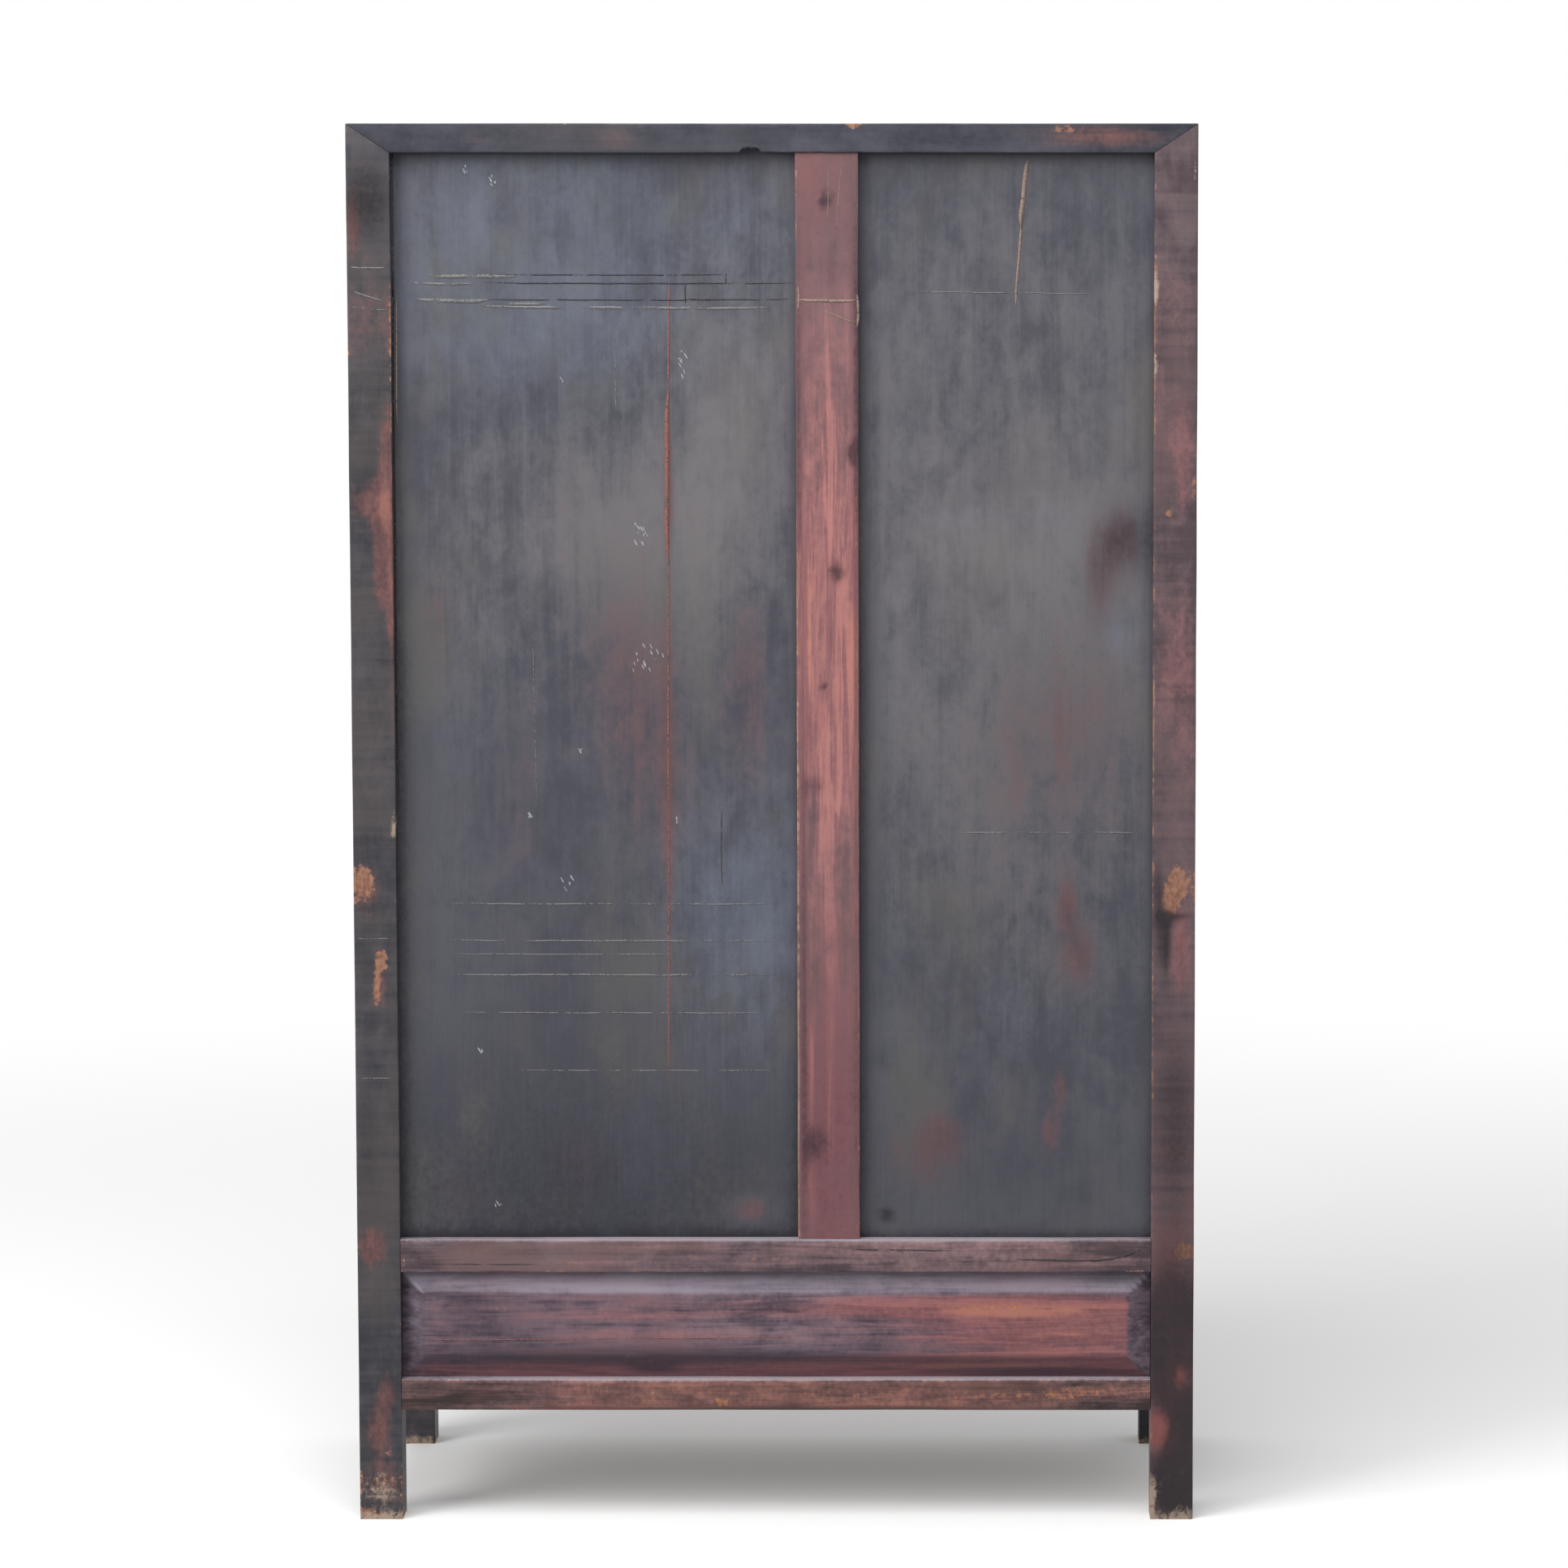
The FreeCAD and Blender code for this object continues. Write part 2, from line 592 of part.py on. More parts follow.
def drawer(name, width, height):
    """The boards and knob of one drawer, set out from the lower left front corner of its cell."""
    low = "runner_clearance"
    left_x = ("drawer_gap", "drawer_gap + drawer_side_thickness")
    right_x = (f"{width} - drawer_gap - drawer_side_thickness", f"{width} - drawer_gap")
    inner_x = (left_x[1], right_x[0])
    front_y = ("drawer_front_face", "drawer_front_back")
    side_y = ("drawer_front_face + drawer_front_lip", "drawer_length")
    side_z = (low, f"{height} - drawer_gap - drawer_side_drop")
    back_y = ("drawer_length - drawer_side_thickness", "drawer_length")

    bottom_spans = {
        "x": (f"{inner_x[0]} - drawer_groove", f"{inner_x[1]} + drawer_groove"),
        "y": ("drawer_front_back - drawer_groove", "drawer_length"),
        "z": (f"{low} + drawer_bottom_lift", "drawer_floor"),
    }
    bottom = board(f"{name}_bottom", **bottom_spans)
    groove = board(f"{name}_bottom_groove", **grown(bottom_spans, "joint_clearance"))

    sides = []
    laps = []
    for hand, x in (("left", left_x), ("right", right_x)):
        spans = {"x": x, "y": side_y, "z": side_z}
        blank = board(f"{name}_{hand}_blank", **spans)
        sides.append(cut(f"{name}_{hand}", blank, [groove]))
        laps.append(board(f"{name}_{hand}_lap", **grown(spans, "joint_clearance")))

    pull = Knob(f"{name}_knob", f"{width} / 2", f"{height} / 2")
    front_x = (left_x[0], right_x[1])
    front_blank = board(f"{name}_front_blank", front_x, front_y, (low, f"{height} - drawer_gap"))
    front = cut(f"{name}_front", front_blank, laps + [groove, pull.hole])
    back = board(f"{name}_back", inner_x, back_y, ("drawer_floor", side_z[1]))
    return group(name, [front, *sides, back, bottom, pull.solid])


def build_drawers():
    """The small drawers of the crate, counted from the top left, and the long ones below the waist."""
    small = drawer("small_drawer", "cell_width", "cell_height")
    for row in range(1, ROWS + 1):
        for column in range(1, COLUMNS + 1):
            label = f"drawer_row{row}_column{column}"
            x = f"{column - 1} * column_pitch - post_inner_x + board_thickness"
            z = f"waist_rail_top + {ROWS - row} * row_pitch"
            publish(label, [small], x, "crate_front", z)
    large = drawer("large_drawer", "lower_cell_width", "apron_height")
    for count, hand in enumerate(SIDES):
        label = f"lower_drawer_{hand}"
        x = f"{count} * lower_pitch - post_inner_x + board_thickness"
        publish(label, [large], x, "crate_front", "bottom_rail_top")


def check():
    """Stops if an object failed or a sub-part has no sound shape."""
    for item in doc.Objects:
        if {"Invalid", "Error"} & set(item.State):
            raise RuntimeError(f"{item.Label} failed: {item.State}")
    for item in pieces:
        if item.Shape.isNull() or not item.Shape.isValid() or not item.Shape.Solids:
            raise RuntimeError(f"{item.Label} has no sound shape")


def export():
    """Writes each sub-part to its own file."""
    os.makedirs("parts", exist_ok=True)
    for item in pieces:
        item.Shape.exportStep(os.path.join("parts", f"{item.Label}.step"))
    print(f"{len(pieces)} sub-parts, {sum(len(item.Shape.Solids) for item in pieces)} solids")


make_sheet()
build_carcass()
build_crate()
build_drawers()
doc.recompute()
check()
export()
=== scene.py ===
"""Looks of the apothecary cabinet: worn lacquer on a mitred frame, floating panels and a crate of drawers.

Metres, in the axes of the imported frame: +Z is up, the drawers face -Y and the panelled back faces +Y.
"""

import json
import logging
import math
from abc import ABC, abstractmethod
from dataclasses import dataclass, field, replace
from enum import Enum
from typing import Any, Callable, Optional, Sequence, Union

import bmesh
import bpy
import numpy as np
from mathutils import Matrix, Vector

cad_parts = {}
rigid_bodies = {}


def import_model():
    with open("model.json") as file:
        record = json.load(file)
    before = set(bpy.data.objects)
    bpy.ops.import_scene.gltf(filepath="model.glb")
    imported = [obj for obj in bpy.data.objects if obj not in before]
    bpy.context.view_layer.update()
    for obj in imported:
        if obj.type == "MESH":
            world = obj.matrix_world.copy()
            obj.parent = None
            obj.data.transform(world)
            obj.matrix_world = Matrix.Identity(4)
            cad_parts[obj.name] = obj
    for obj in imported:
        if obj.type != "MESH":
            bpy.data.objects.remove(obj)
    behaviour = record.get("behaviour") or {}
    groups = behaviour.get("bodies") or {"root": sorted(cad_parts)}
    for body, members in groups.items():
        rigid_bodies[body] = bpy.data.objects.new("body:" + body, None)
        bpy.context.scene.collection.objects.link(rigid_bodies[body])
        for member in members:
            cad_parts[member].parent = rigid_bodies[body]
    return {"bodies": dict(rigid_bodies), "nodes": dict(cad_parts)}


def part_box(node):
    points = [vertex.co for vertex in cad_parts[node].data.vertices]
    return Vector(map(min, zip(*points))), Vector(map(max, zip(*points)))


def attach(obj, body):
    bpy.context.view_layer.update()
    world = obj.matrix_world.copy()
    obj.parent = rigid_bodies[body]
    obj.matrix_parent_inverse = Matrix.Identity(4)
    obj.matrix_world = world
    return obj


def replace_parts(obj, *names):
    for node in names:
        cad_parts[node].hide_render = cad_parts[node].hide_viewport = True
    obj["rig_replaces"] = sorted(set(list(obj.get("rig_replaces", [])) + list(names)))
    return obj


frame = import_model()
log = logging.getLogger("cabinet")

Colour = tuple[float, float, float]
Triple = tuple[float, float, float]
Row = tuple[float, float, float, float, float]
Relief = Callable[[np.ndarray, np.ndarray], np.ndarray]

CARCASS = "carcass"
IMAGE_PIXELS = 1932
BOARD = "board"
BACK_PANELS = ("back_panel_wide", "back_panel_narrow")
BUMP_STRENGTH = 0.6
NOISE_ROUGHNESS = 0.6
PATCH_FALLOFF = 1.1
SAME_PLACE = 1e-6
MM_PER_METRE = 1000


class Axis(Enum):
    """A direction of the frame."""

    X = 0
    Y = 1
    Z = 2


class Wear(Enum):
    """A kind of wear, painted highlight or painted shade, and the name of the mesh attribute that holds it.
    """

    EDGE = "edge"
    BARE = "bare"
    RED = "red"
    PALE = "pale"
    FADED = "faded"
    DARK = "dark"


class Slot(Enum):
    """A material slot of the record."""

    FRAME = "frame_lacquer"
    PANEL = "panel_lacquer"
    RED = "red_lacquer"
    DRAWER = "drawer_lacquer"
    WOOD = "bare_wood"
    BRASS = "brass"


# Node graphs


class Value:
    """A number, colour or vector of a node graph, held as its socket, with arithmetic for numbers."""

    def __init__(self, graph: "Graph", socket: bpy.types.NodeSocket) -> None:
        """Keeps a socket and the graph that it belongs to."""
        self.graph = graph
        self.socket = socket

    def __add__(self, other: "Number") -> "Value":
        """Sum."""
        return self.graph.math("ADD", self, other)

    def __sub__(self, other: "Number") -> "Value":
        """Difference."""
        return self.graph.math("SUBTRACT", self, other)

    def __rsub__(self, other: "Number") -> "Value":
        """Difference from a plain number."""
        return self.graph.math("SUBTRACT", other, self)

    def __mul__(self, other: "Number") -> "Value":
        """Product."""
        return self.graph.math("MULTIPLY", self, other)

    __radd__ = __add__
    __rmul__ = __mul__


Number = Union[Value, float]


class Graph:
    """A node tree that is written as expressions."""

    def __init__(self, tree: bpy.types.NodeTree) -> None:
        """Keeps the tree that nodes are added to."""
        self.tree = tree

    def node(
        self,
        kind: str,
        settings: Optional[dict[str, Any]] = None,
        inputs: Optional[dict[Union[str, int], Any]] = None,
        output: Union[str, int] = 0,
    ) -> Value:
        """Adds one node.

        Args:
            kind: The node's type.
            settings: Its settings, which are set before its sockets.
            inputs: A value or a link for each socket, by name or index.
            output: The name or index of the socket to hand back.

        Returns:
            That output socket.
        """
        item = self.tree.nodes.new(kind)
        for name, setting in (settings or {}).items():
            setattr(item, name, setting)
        for key, given in (inputs or {}).items():
            if isinstance(given, Value):
                self.tree.links.new(given.socket, item.inputs[key])
            else:
                item.inputs[key].default_value = given
        return Value(self, item.outputs[output])

    def math(self, operation: str, first: Number, second: Number) -> Value:
        """A Math node on two numbers."""
        return self.node("ShaderNodeMath", {"operation": operation}, {0: first, 1: second})

    def ramp(self, amount: Number, low: float, high: float) -> Value:
        """A smooth step from 0 at low to 1 at high."""
        limits = {"Value": amount, "From Min": low, "From Max": high}
        return self.node("ShaderNodeMapRange", {"interpolation_type": "SMOOTHSTEP"}, limits)

    def blend(self, share: Number, first: Union[Value, Colour], second: Union[Value, Colour]) -> Value:
        """A mix of two colours.

        Args:
            share: How much of the second colour there is.
            first: The colour at 0.
            second: The colour at 1.

        Returns:
            The mixed colour.
        """
        ends = [end if isinstance(end, Value) else (*end, 1.0) for end in (first, second)]
        return self.node("ShaderNodeMix", {"data_type": "RGBA"}, {0: share, 6: ends[0], 7: ends[1]}, 2)


class Surface(Graph):
    """The node graph of one material."""

    def __init__(self, name: str) -> None:
        """Makes the material with an empty graph.

        Args:
            name: The material's name.
        """
        self.material = bpy.data.materials.new(name)
        self.material.use_nodes = True
        super().__init__(self.material.node_tree)
        self.tree.nodes.clear()
        coordinates = self.node("ShaderNodeTexCoord", output="Object")
        board = self.node("ShaderNodeAttribute", {"attribute_name": BOARD}, output="Vector")
        self.place = self.node("ShaderNodeVectorMath", {"operation": "ADD"}, {0: coordinates, 1: board})

    def wear(self, kind: Wear) -> Value:
        """A wear attribute of the mesh."""
        return self.node("ShaderNodeAttribute", {"attribute_name": kind.value}, output="Fac")

    def along(self, axis: Axis) -> Value:
        """The place along one axis of the frame."""
        return self.node("ShaderNodeSeparateXYZ", inputs={0: self.place}, output=axis.value)

    def noise(self, scale: Triple, detail: float = 4.0, shift: float = 0.0, twist: float = 0.0) -> Value:
        """Cloudy noise.

        Args:
            scale: Waves to the metre along each axis.
            detail: How many finer layers it has.
            shift: Where in the noise it starts.
            twist: How much it swirls.

        Returns:
            A number that stays mostly between 0.25 and 0.75.
        """
        stretch = {0: self.place, "Location": (shift,) * 3, "Scale": scale}
        stretched = self.node("ShaderNodeMapping", inputs=stretch)
        inputs = {"Vector": stretched, "Scale": 1.0, "Detail": detail, "Distortion": twist}
        inputs["Roughness"] = NOISE_ROUGHNESS
        return self.node("ShaderNodeTexNoise", inputs=inputs, output="Fac")

    def finish(self, height: Value, depth: float, sockets: dict[str, Any]) -> bpy.types.Material:
        """Adds the shader.

        Args:
            height: The relief of the surface.
            depth: How deep the relief is, in metres.
            sockets: Values or links for the shader's other sockets.

        Returns:
            The finished material.
        """
        bump = {"Strength": BUMP_STRENGTH, "Distance": depth, "Height": height}
        normal = self.node("ShaderNodeBump", inputs=bump)
        shader = self.node("ShaderNodeBsdfPrincipled", inputs={**sockets, "Normal": normal})
        self.node_output(shader)
        return self.material

    def node_output(self, shader: Value) -> None:
        """Links a shader to the material's output."""
        output = self.tree.nodes.new("ShaderNodeOutputMaterial")
        self.tree.links.new(shader.socket, output.inputs["Surface"])


def with_grain(axis: Axis, along: float, across: float) -> Triple:
    """Noise scales that are long along the grain and short across it."""
    return tuple(along if other is axis else across for other in Axis)


# Finishes


class Finish(ABC):
    """A finish whose material is made on its first use."""

    name: str

    @abstractmethod
    def make(self) -> bpy.types.Material:
        """Builds the material's graph."""

    def material(self) -> bpy.types.Material:
        """The material."""
        return bpy.data.materials.get(self.name) or self.make()


@dataclass(frozen=True)
class Lacquer(Finish):
    """A dark coat over a red coat over wood, worn through in places.

    The top coat varies from top to bloom with a tint, the red coat from under_deep to under and the wood
    from wood_deep to wood, and ember is the red coat rubbed bright. Redness and wear say how much of the
    lower coats shows all over, streaky how much the coats follow the grain, figured how much the grain
    shows in the red coat, brushed how much the brush strokes show, banded how much the coat changes from
    band to band along the piece, blurred how soft the edges of the red are, chipped how ragged the pale
    dusting and painted sheen are, sooty how ragged the dirt and painted shade are, and clean how much pale
    dusting and painted sheen it takes to show. The pale colour is dusting and, on the panels and the
    apron's upper bevel, painted sheen and highlights; the dark colour is dirt and, along panel edges, the
    mullion's sides and the apron's side and lower bevels, painted shade.
    """

    name: str
    grain: Axis
    top: Colour
    bloom: Colour
    tint: Colour
    under: Colour
    under_deep: Colour
    ember: Colour = (0.40, 0.145, 0.095)
    wood: Colour = (0.37, 0.195, 0.125)
    wood_deep: Colour = (0.19, 0.082, 0.055)
    # Pale colour for dusting, and for painted sheen and painted highlights.
    dust_and_sheen: Colour = (0.34, 0.31, 0.27)
    faded: Colour = (0.135, 0.105, 0.108)
    # Dark colour for dirt, and for painted shade.
    grime_and_shade: Colour = (0.014, 0.012, 0.014)
    redness: float = 0.0
    wear: float = 0.0
    edge_wear: float = 0.5
    streaky: float = 0.6
    figured: float = 0.4
    brushed: float = 0.05
    banded: float = 0.0
    blurred: float = 0.34
    chipped: float = 0.0
    sooty: float = 0.0
    clean: float = 0.08
    rings: float = 34.0
    roughness: float = 0.44
    gloss: float = 0.22

    def make(self) -> bpy.types.Material:
        """Builds the material's graph.

        Returns:
            The material.
        """
        surface = Surface(self.name)
        cloud = surface.noise(with_grain(self.grain, 3.6, 5.5), 4.0)
        drift = surface.noise(with_grain(self.grain, 5.0, 9.0), 3.0, shift=7.4)
        blot = surface.noise(with_grain(self.grain, 20.0, 34.0), 6.0, shift=3.1, twist=0.5)
        mottle = surface.noise((150.0, 150.0, 120.0), 4.0, shift=5.3)
        speck = surface.noise((520.0, 520.0, 520.0), 2.0, shift=9.7)
        streak = surface.noise(with_grain(self.grain, 3.2, 62.0), 6.0, shift=1.7, twist=0.3)
        fibre = surface.noise(with_grain(self.grain, 14.0, 620.0), 3.0, shift=8.9)
        stroke = surface.noise(with_grain(self.grain, 11.0, 260.0), 4.0, shift=2.4, twist=0.4)
        figure = surface.math("SINE", streak * self.rings, 0.0) * 0.5 + 0.5
        grain = (streak - 0.5) * self.streaky
        strokes = (stroke - 0.5) * self.brushed
        band = surface.noise(with_grain(self.grain, 95.0, 4.0), 3.0, shift=6.3)
        strokes = strokes + (band - 0.5) * self.banded

        worn = surface.wear(Wear.BARE) + surface.wear(Wear.EDGE) * (self.edge_wear * (cloud + blot))
        ragged = (blot - 0.5) * 0.9 + (mottle - 0.5) * 1.2 + (speck - 0.5) * 0.5
        bare = worn + ragged * (surface.ramp(worn, 0.0, 0.35) * 0.7 + 0.3)
        bare_share = surface.ramp(bare + grain + (self.wear - 0.12), 0.43, 0.61)
        patchy = (cloud - 0.5) * 0.8 + (blot - 0.5) * 0.6 + (mottle - 0.5) * 0.25 + grain
        red = surface.wear(Wear.RED) + patchy + grain * 0.6 + strokes + self.redness
        red_share = surface.ramp(red, 0.5 - self.blurred, 0.5 + self.blurred)
        # Pale: dusting, and on the panels and the apron's upper bevel painted sheen and highlights.
        pale = surface.wear(Wear.PALE)
        chips = ((blot - 0.5) * 0.8 + (mottle - 0.5) * 1.3 + (speck - 0.5) * 0.6) * (pale * self.chipped)
        pale_share = surface.ramp(pale + patchy * 0.7 + strokes + chips, self.clean, 1.0)
        faded_share = surface.ramp(surface.wear(Wear.FADED) + patchy * 0.8 + strokes, 0.16, 1.0)
        # Dark: dirt, and along panel edges, the mullion's sides and the apron's side and lower bevels
        # painted shade.
        dark = surface.wear(Wear.DARK)
        dark_ragged = ((blot - 0.5) * 1.0 + (mottle - 0.5) * 2.0 + (speck - 0.5) * 0.6) * (dark * self.sooty)
        crisp = 0.2 * self.sooty
        dark_share = surface.ramp(dark + patchy * 0.5 + dark_ragged, 0.05 + crisp, 0.95 - crisp)

        bloom = cloud * 0.42 + blot * 0.42 + mottle * 0.16 + grain * 0.5 + strokes
        coat = surface.blend(surface.ramp(bloom, 0.34, 0.66), self.top, self.bloom)
        coat = surface.blend(surface.ramp(drift + strokes, 0.46, 0.72) * 0.75, coat, self.tint)
        coat = surface.blend(faded_share, coat, self.faded)
        lined = figure * 0.16 + fibre * 0.34 + streak * 0.5
        lines = lined * self.figured + (blot * 0.55 + mottle * 0.45) * (1.0 - self.figured)
        under = surface.blend(surface.ramp(lines, 0.36, 0.64), self.under_deep, self.under)
        under = surface.blend(surface.ramp(red, 0.95, 1.5), under, self.ember)
        wood = surface.blend(surface.ramp(fibre * 0.4 + mottle * 0.6, 0.36, 0.64), self.wood_deep, self.wood)
        colour = surface.blend(red_share, coat, under)
        colour = surface.blend(bare_share * 0.9, colour, wood)
        # Painted shade and dirt darken the colour, then painted sheen and dusting lighten it.
        colour = surface.blend(dark_share * 0.85, colour, self.grime_and_shade)
        colour = surface.blend(pale_share * 0.75, colour, self.dust_and_sheen)
        colour = surface.blend(surface.ramp(speck, 0.56, 0.8) * 0.3, colour, self.grime_and_shade)

        roughness = (blot - 0.5) * 0.25 + grain * 0.15 + bare_share * 0.2 + pale_share * 0.1 + self.roughness
        height = fibre * 0.3 + mottle * 0.25 + speck * 0.2 + grain * 0.5 + strokes * 0.8 - bare_share * 0.5
        sockets = {"Base Color": colour, "Roughness": roughness, "Specular IOR Level": self.gloss}
        return surface.finish(height, 0.0007, sockets)


@dataclass(frozen=True)
class BareWood(Finish):
    """Aged softwood without lacquer, painted only on its front edges where painted_front is set."""

    name: str
    grain: Axis
    pale: Colour = (0.30, 0.185, 0.10)
    deep: Colour = (0.13, 0.070, 0.036)
    stain: Colour = (0.055, 0.038, 0.028)
    paint: Colour = (0.035, 0.024, 0.024)
    painted_front: Optional[float] = None

    def make(self) -> bpy.types.Material:
        """Builds the material's graph.

        Returns:
            The material.
        """
        surface = Surface(self.name)
        cloud = surface.noise((6.0, 6.0, 6.0), 4.0)
        rings = surface.noise(with_grain(self.grain, 2.2, 60.0), 4.0, shift=2.2, twist=0.8)
        fibre = surface.noise(with_grain(self.grain, 16.0, 700.0), 3.0, shift=6.1)
        colour = surface.blend(surface.ramp(rings * 0.65 + fibre * 0.35, 0.36, 0.62), self.deep, self.pale)
        colour = surface.blend(surface.ramp(cloud, 0.48, 0.75) * 0.7, colour, self.stain)
        roughness = (fibre - 0.5) * 0.2 + 0.68
        if self.painted_front is not None:
            ragged = surface.along(Axis.Y) + (fibre - 0.5) * 0.004
            paint = 1.0 - surface.ramp(ragged, self.painted_front, self.painted_front + 0.002)
            colour = surface.blend(paint * 0.94, colour, self.paint)
            roughness = roughness - paint * 0.2
        sockets = {"Base Color": colour, "Roughness": roughness}
        return surface.finish(fibre * 0.6 + rings * 0.4, 0.0006, sockets)


@dataclass(frozen=True)
class Brass(Finish):
    """Tarnished cast brass, rubbed bright on its proud facets."""

    name: str = "brass_knob"
    bright: Colour = (0.52, 0.35, 0.13)
    tarnish: Colour = (0.10, 0.068, 0.034)

    def make(self) -> bpy.types.Material:
        """Builds the material's graph.

        Returns:
            The material.
        """
        surface = Surface(self.name)
        cloud = surface.noise((90.0, 90.0, 90.0), 5.0)
        pits = surface.noise((700.0, 700.0, 700.0), 3.0, shift=4.0)
        rubbed = surface.ramp(surface.wear(Wear.EDGE) * 0.55 + (cloud - 0.5) * 1.1, 0.0, 0.6)
        colour = surface.blend(rubbed, self.tarnish, self.bright)
        roughness = 0.62 - rubbed * 0.3 + (pits - 0.5) * 0.1
        sockets = {"Base Color": colour, "Roughness": roughness, "Metallic": 0.85}
        return surface.finish(pits * 0.6 + cloud * 0.4, 0.0003, sockets)


@dataclass(frozen=True)
class Mark(Finish):
    """A thin mark in the lacquer, broken up along its length."""

    name: str
    colour: Colour
    fade: Colour
    cover: float = 0.5

    def make(self) -> bpy.types.Material:
        """Builds the material's graph.

        Returns:
            The material.
        """
        surface = Surface(self.name)
        broken = surface.noise((34.0, 60.0, 130.0), 4.0)
        grit = surface.noise((420.0, 420.0, 420.0), 3.0, shift=2.7)
        colour = surface.blend(surface.ramp(grit, 0.35, 0.65), self.fade, self.colour)
        gaps = surface.ramp(broken * 0.7 + grit * 0.3, 0.72 - self.cover * 0.5, 0.82 - self.cover * 0.5)
        sockets = {"Base Color": colour, "Alpha": gaps * 0.85, "Roughness": 0.6 + (grit - 0.5) * 0.2}
        return surface.finish(grit, 0.0002, sockets)


@dataclass(frozen=True)
class Paper(Finish):
    """The seamless pale floor, which shows as white away from the shadow."""

    name: str = "studio_paper"
    colour: Colour = (0.90, 0.90, 0.90)
    bounce: Colour = (0.36, 0.36, 0.36)
    lift: float = 0.14
    near: float = 1.6
    far: float = 4.2

    def make(self) -> bpy.types.Material:
        """Builds the material's graph.

        Returns:
            The material.
        """
        surface = Surface(self.name)
        tooth = surface.noise((240.0, 240.0, 240.0), 3.0)
        colour = surface.blend(tooth, self.colour, tuple(part * 0.985 for part in self.colour))
        white = {"Color": (1.0, 1.0, 1.0, 1.0)}
        dull = {"Roughness": 1.0, "Specular IOR Level": 0.0}
        sheet = surface.node("ShaderNodeBsdfPrincipled", inputs={"Base Color": colour, **dull})
        glow = surface.node("ShaderNodeEmission", inputs={**white, "Strength": self.lift})
        seen = surface.node("ShaderNodeAddShader", inputs={0: sheet, 1: glow})
        distance = surface.node("ShaderNodeVectorMath", {"operation": "LENGTH"}, {0: surface.place}, "Value")
        away = surface.ramp(distance, self.near, self.far)
        open_floor = surface.node("ShaderNodeEmission", inputs={**white, "Strength": 1.0})
        seen = surface.node("ShaderNodeMixShader", inputs={0: away, 1: seen, 2: open_floor})
        light = surface.node("ShaderNodeBsdfDiffuse", inputs={"Color": (*self.bounce, 1.0)})
        mixed = surface.node("ShaderNodeMixShader", inputs={0: direct_view(surface), 1: light, 2: seen})
        surface.node_output(mixed)
        return surface.material


def direct_view(graph: Graph) -> Value:
    """Tells what the camera sees from what only lights the scene.

    Args:
        graph: The graph that it is added to.

    Returns:
        1 for what is seen straight on, in a gloss or through glass, and 0 for light.
    """
    rays = ("Is Camera Ray", "Is Glossy Ray", "Is Transmission Ray")
    camera, glossy, through = (graph.node("ShaderNodeLightPath", output=ray) for ray in rays)
    return graph.math("MAXIMUM", graph.math("MAXIMUM", camera, glossy), through)


FRAME_COAT = Lacquer(
    name="frame_coat_upright", grain=Axis.Z, top=(0.034, 0.034, 0.041), bloom=(0.094, 0.086, 0.096),
    tint=(0.078, 0.068, 0.068), under=(0.185, 0.09, 0.086), under_deep=(0.092, 0.048, 0.052),
    ember=(0.29, 0.128, 0.105), wood=(0.4, 0.205, 0.135), wood_deep=(0.2, 0.088, 0.06),
    dust_and_sheen=(0.46, 0.36, 0.28), redness=0.07, edge_wear=0.38, streaky=0.25, figured=0.15, banded=0.28,
    blurred=0.24, chipped=2.0, sooty=0.5, clean=0.3,
)
RAIL_COAT = replace(
    FRAME_COAT, name="rail_coat_across", grain=Axis.X, top=(0.032, 0.033, 0.044),
    bloom=(0.076, 0.078, 0.098), tint=(0.066, 0.064, 0.074), redness=0.02, edge_wear=0.3, streaky=0.5,
    figured=0.4, banded=0.0, blurred=0.34, chipped=0.5,
)
SIDE_RAIL_COAT = replace(FRAME_COAT, name="rail_coat_deep", grain=Axis.Y)
RUDDY_COAT = replace(
    FRAME_COAT, name="frame_coat_ruddy", top=(0.07, 0.049, 0.058), bloom=(0.15, 0.108, 0.118),
    tint=(0.152, 0.1, 0.106), under=(0.25, 0.125, 0.13), under_deep=(0.148, 0.078, 0.086),
    ember=(0.225, 0.082, 0.08), faded=(0.19, 0.14, 0.148), grime_and_shade=(0.014, 0.012, 0.015), redness=0.22,
    sooty=0.35,
)
WARM_RAIL_COAT = replace(
    RAIL_COAT, name="rail_coat_warm", top=(0.062, 0.042, 0.05), bloom=(0.19, 0.138, 0.16),
    tint=(0.2, 0.118, 0.114), under=(0.32, 0.17, 0.165), under_deep=(0.13, 0.074, 0.082),
    wood=(0.44, 0.215, 0.14), dust_and_sheen=(0.4, 0.355, 0.4), redness=0.28, edge_wear=0.45, streaky=1.2,
    brushed=0.25, clean=0.08,
)
BROWN_RAIL_COAT = replace(
    WARM_RAIL_COAT, name="rail_coat_brown", top=(0.034, 0.022, 0.022), bloom=(0.188, 0.12, 0.128),
    tint=(0.215, 0.11, 0.098), under=(0.36, 0.16, 0.13), under_deep=(0.088, 0.045, 0.047),
    wood=(0.46, 0.205, 0.105), wear=0.06, streaky=1.2,
)
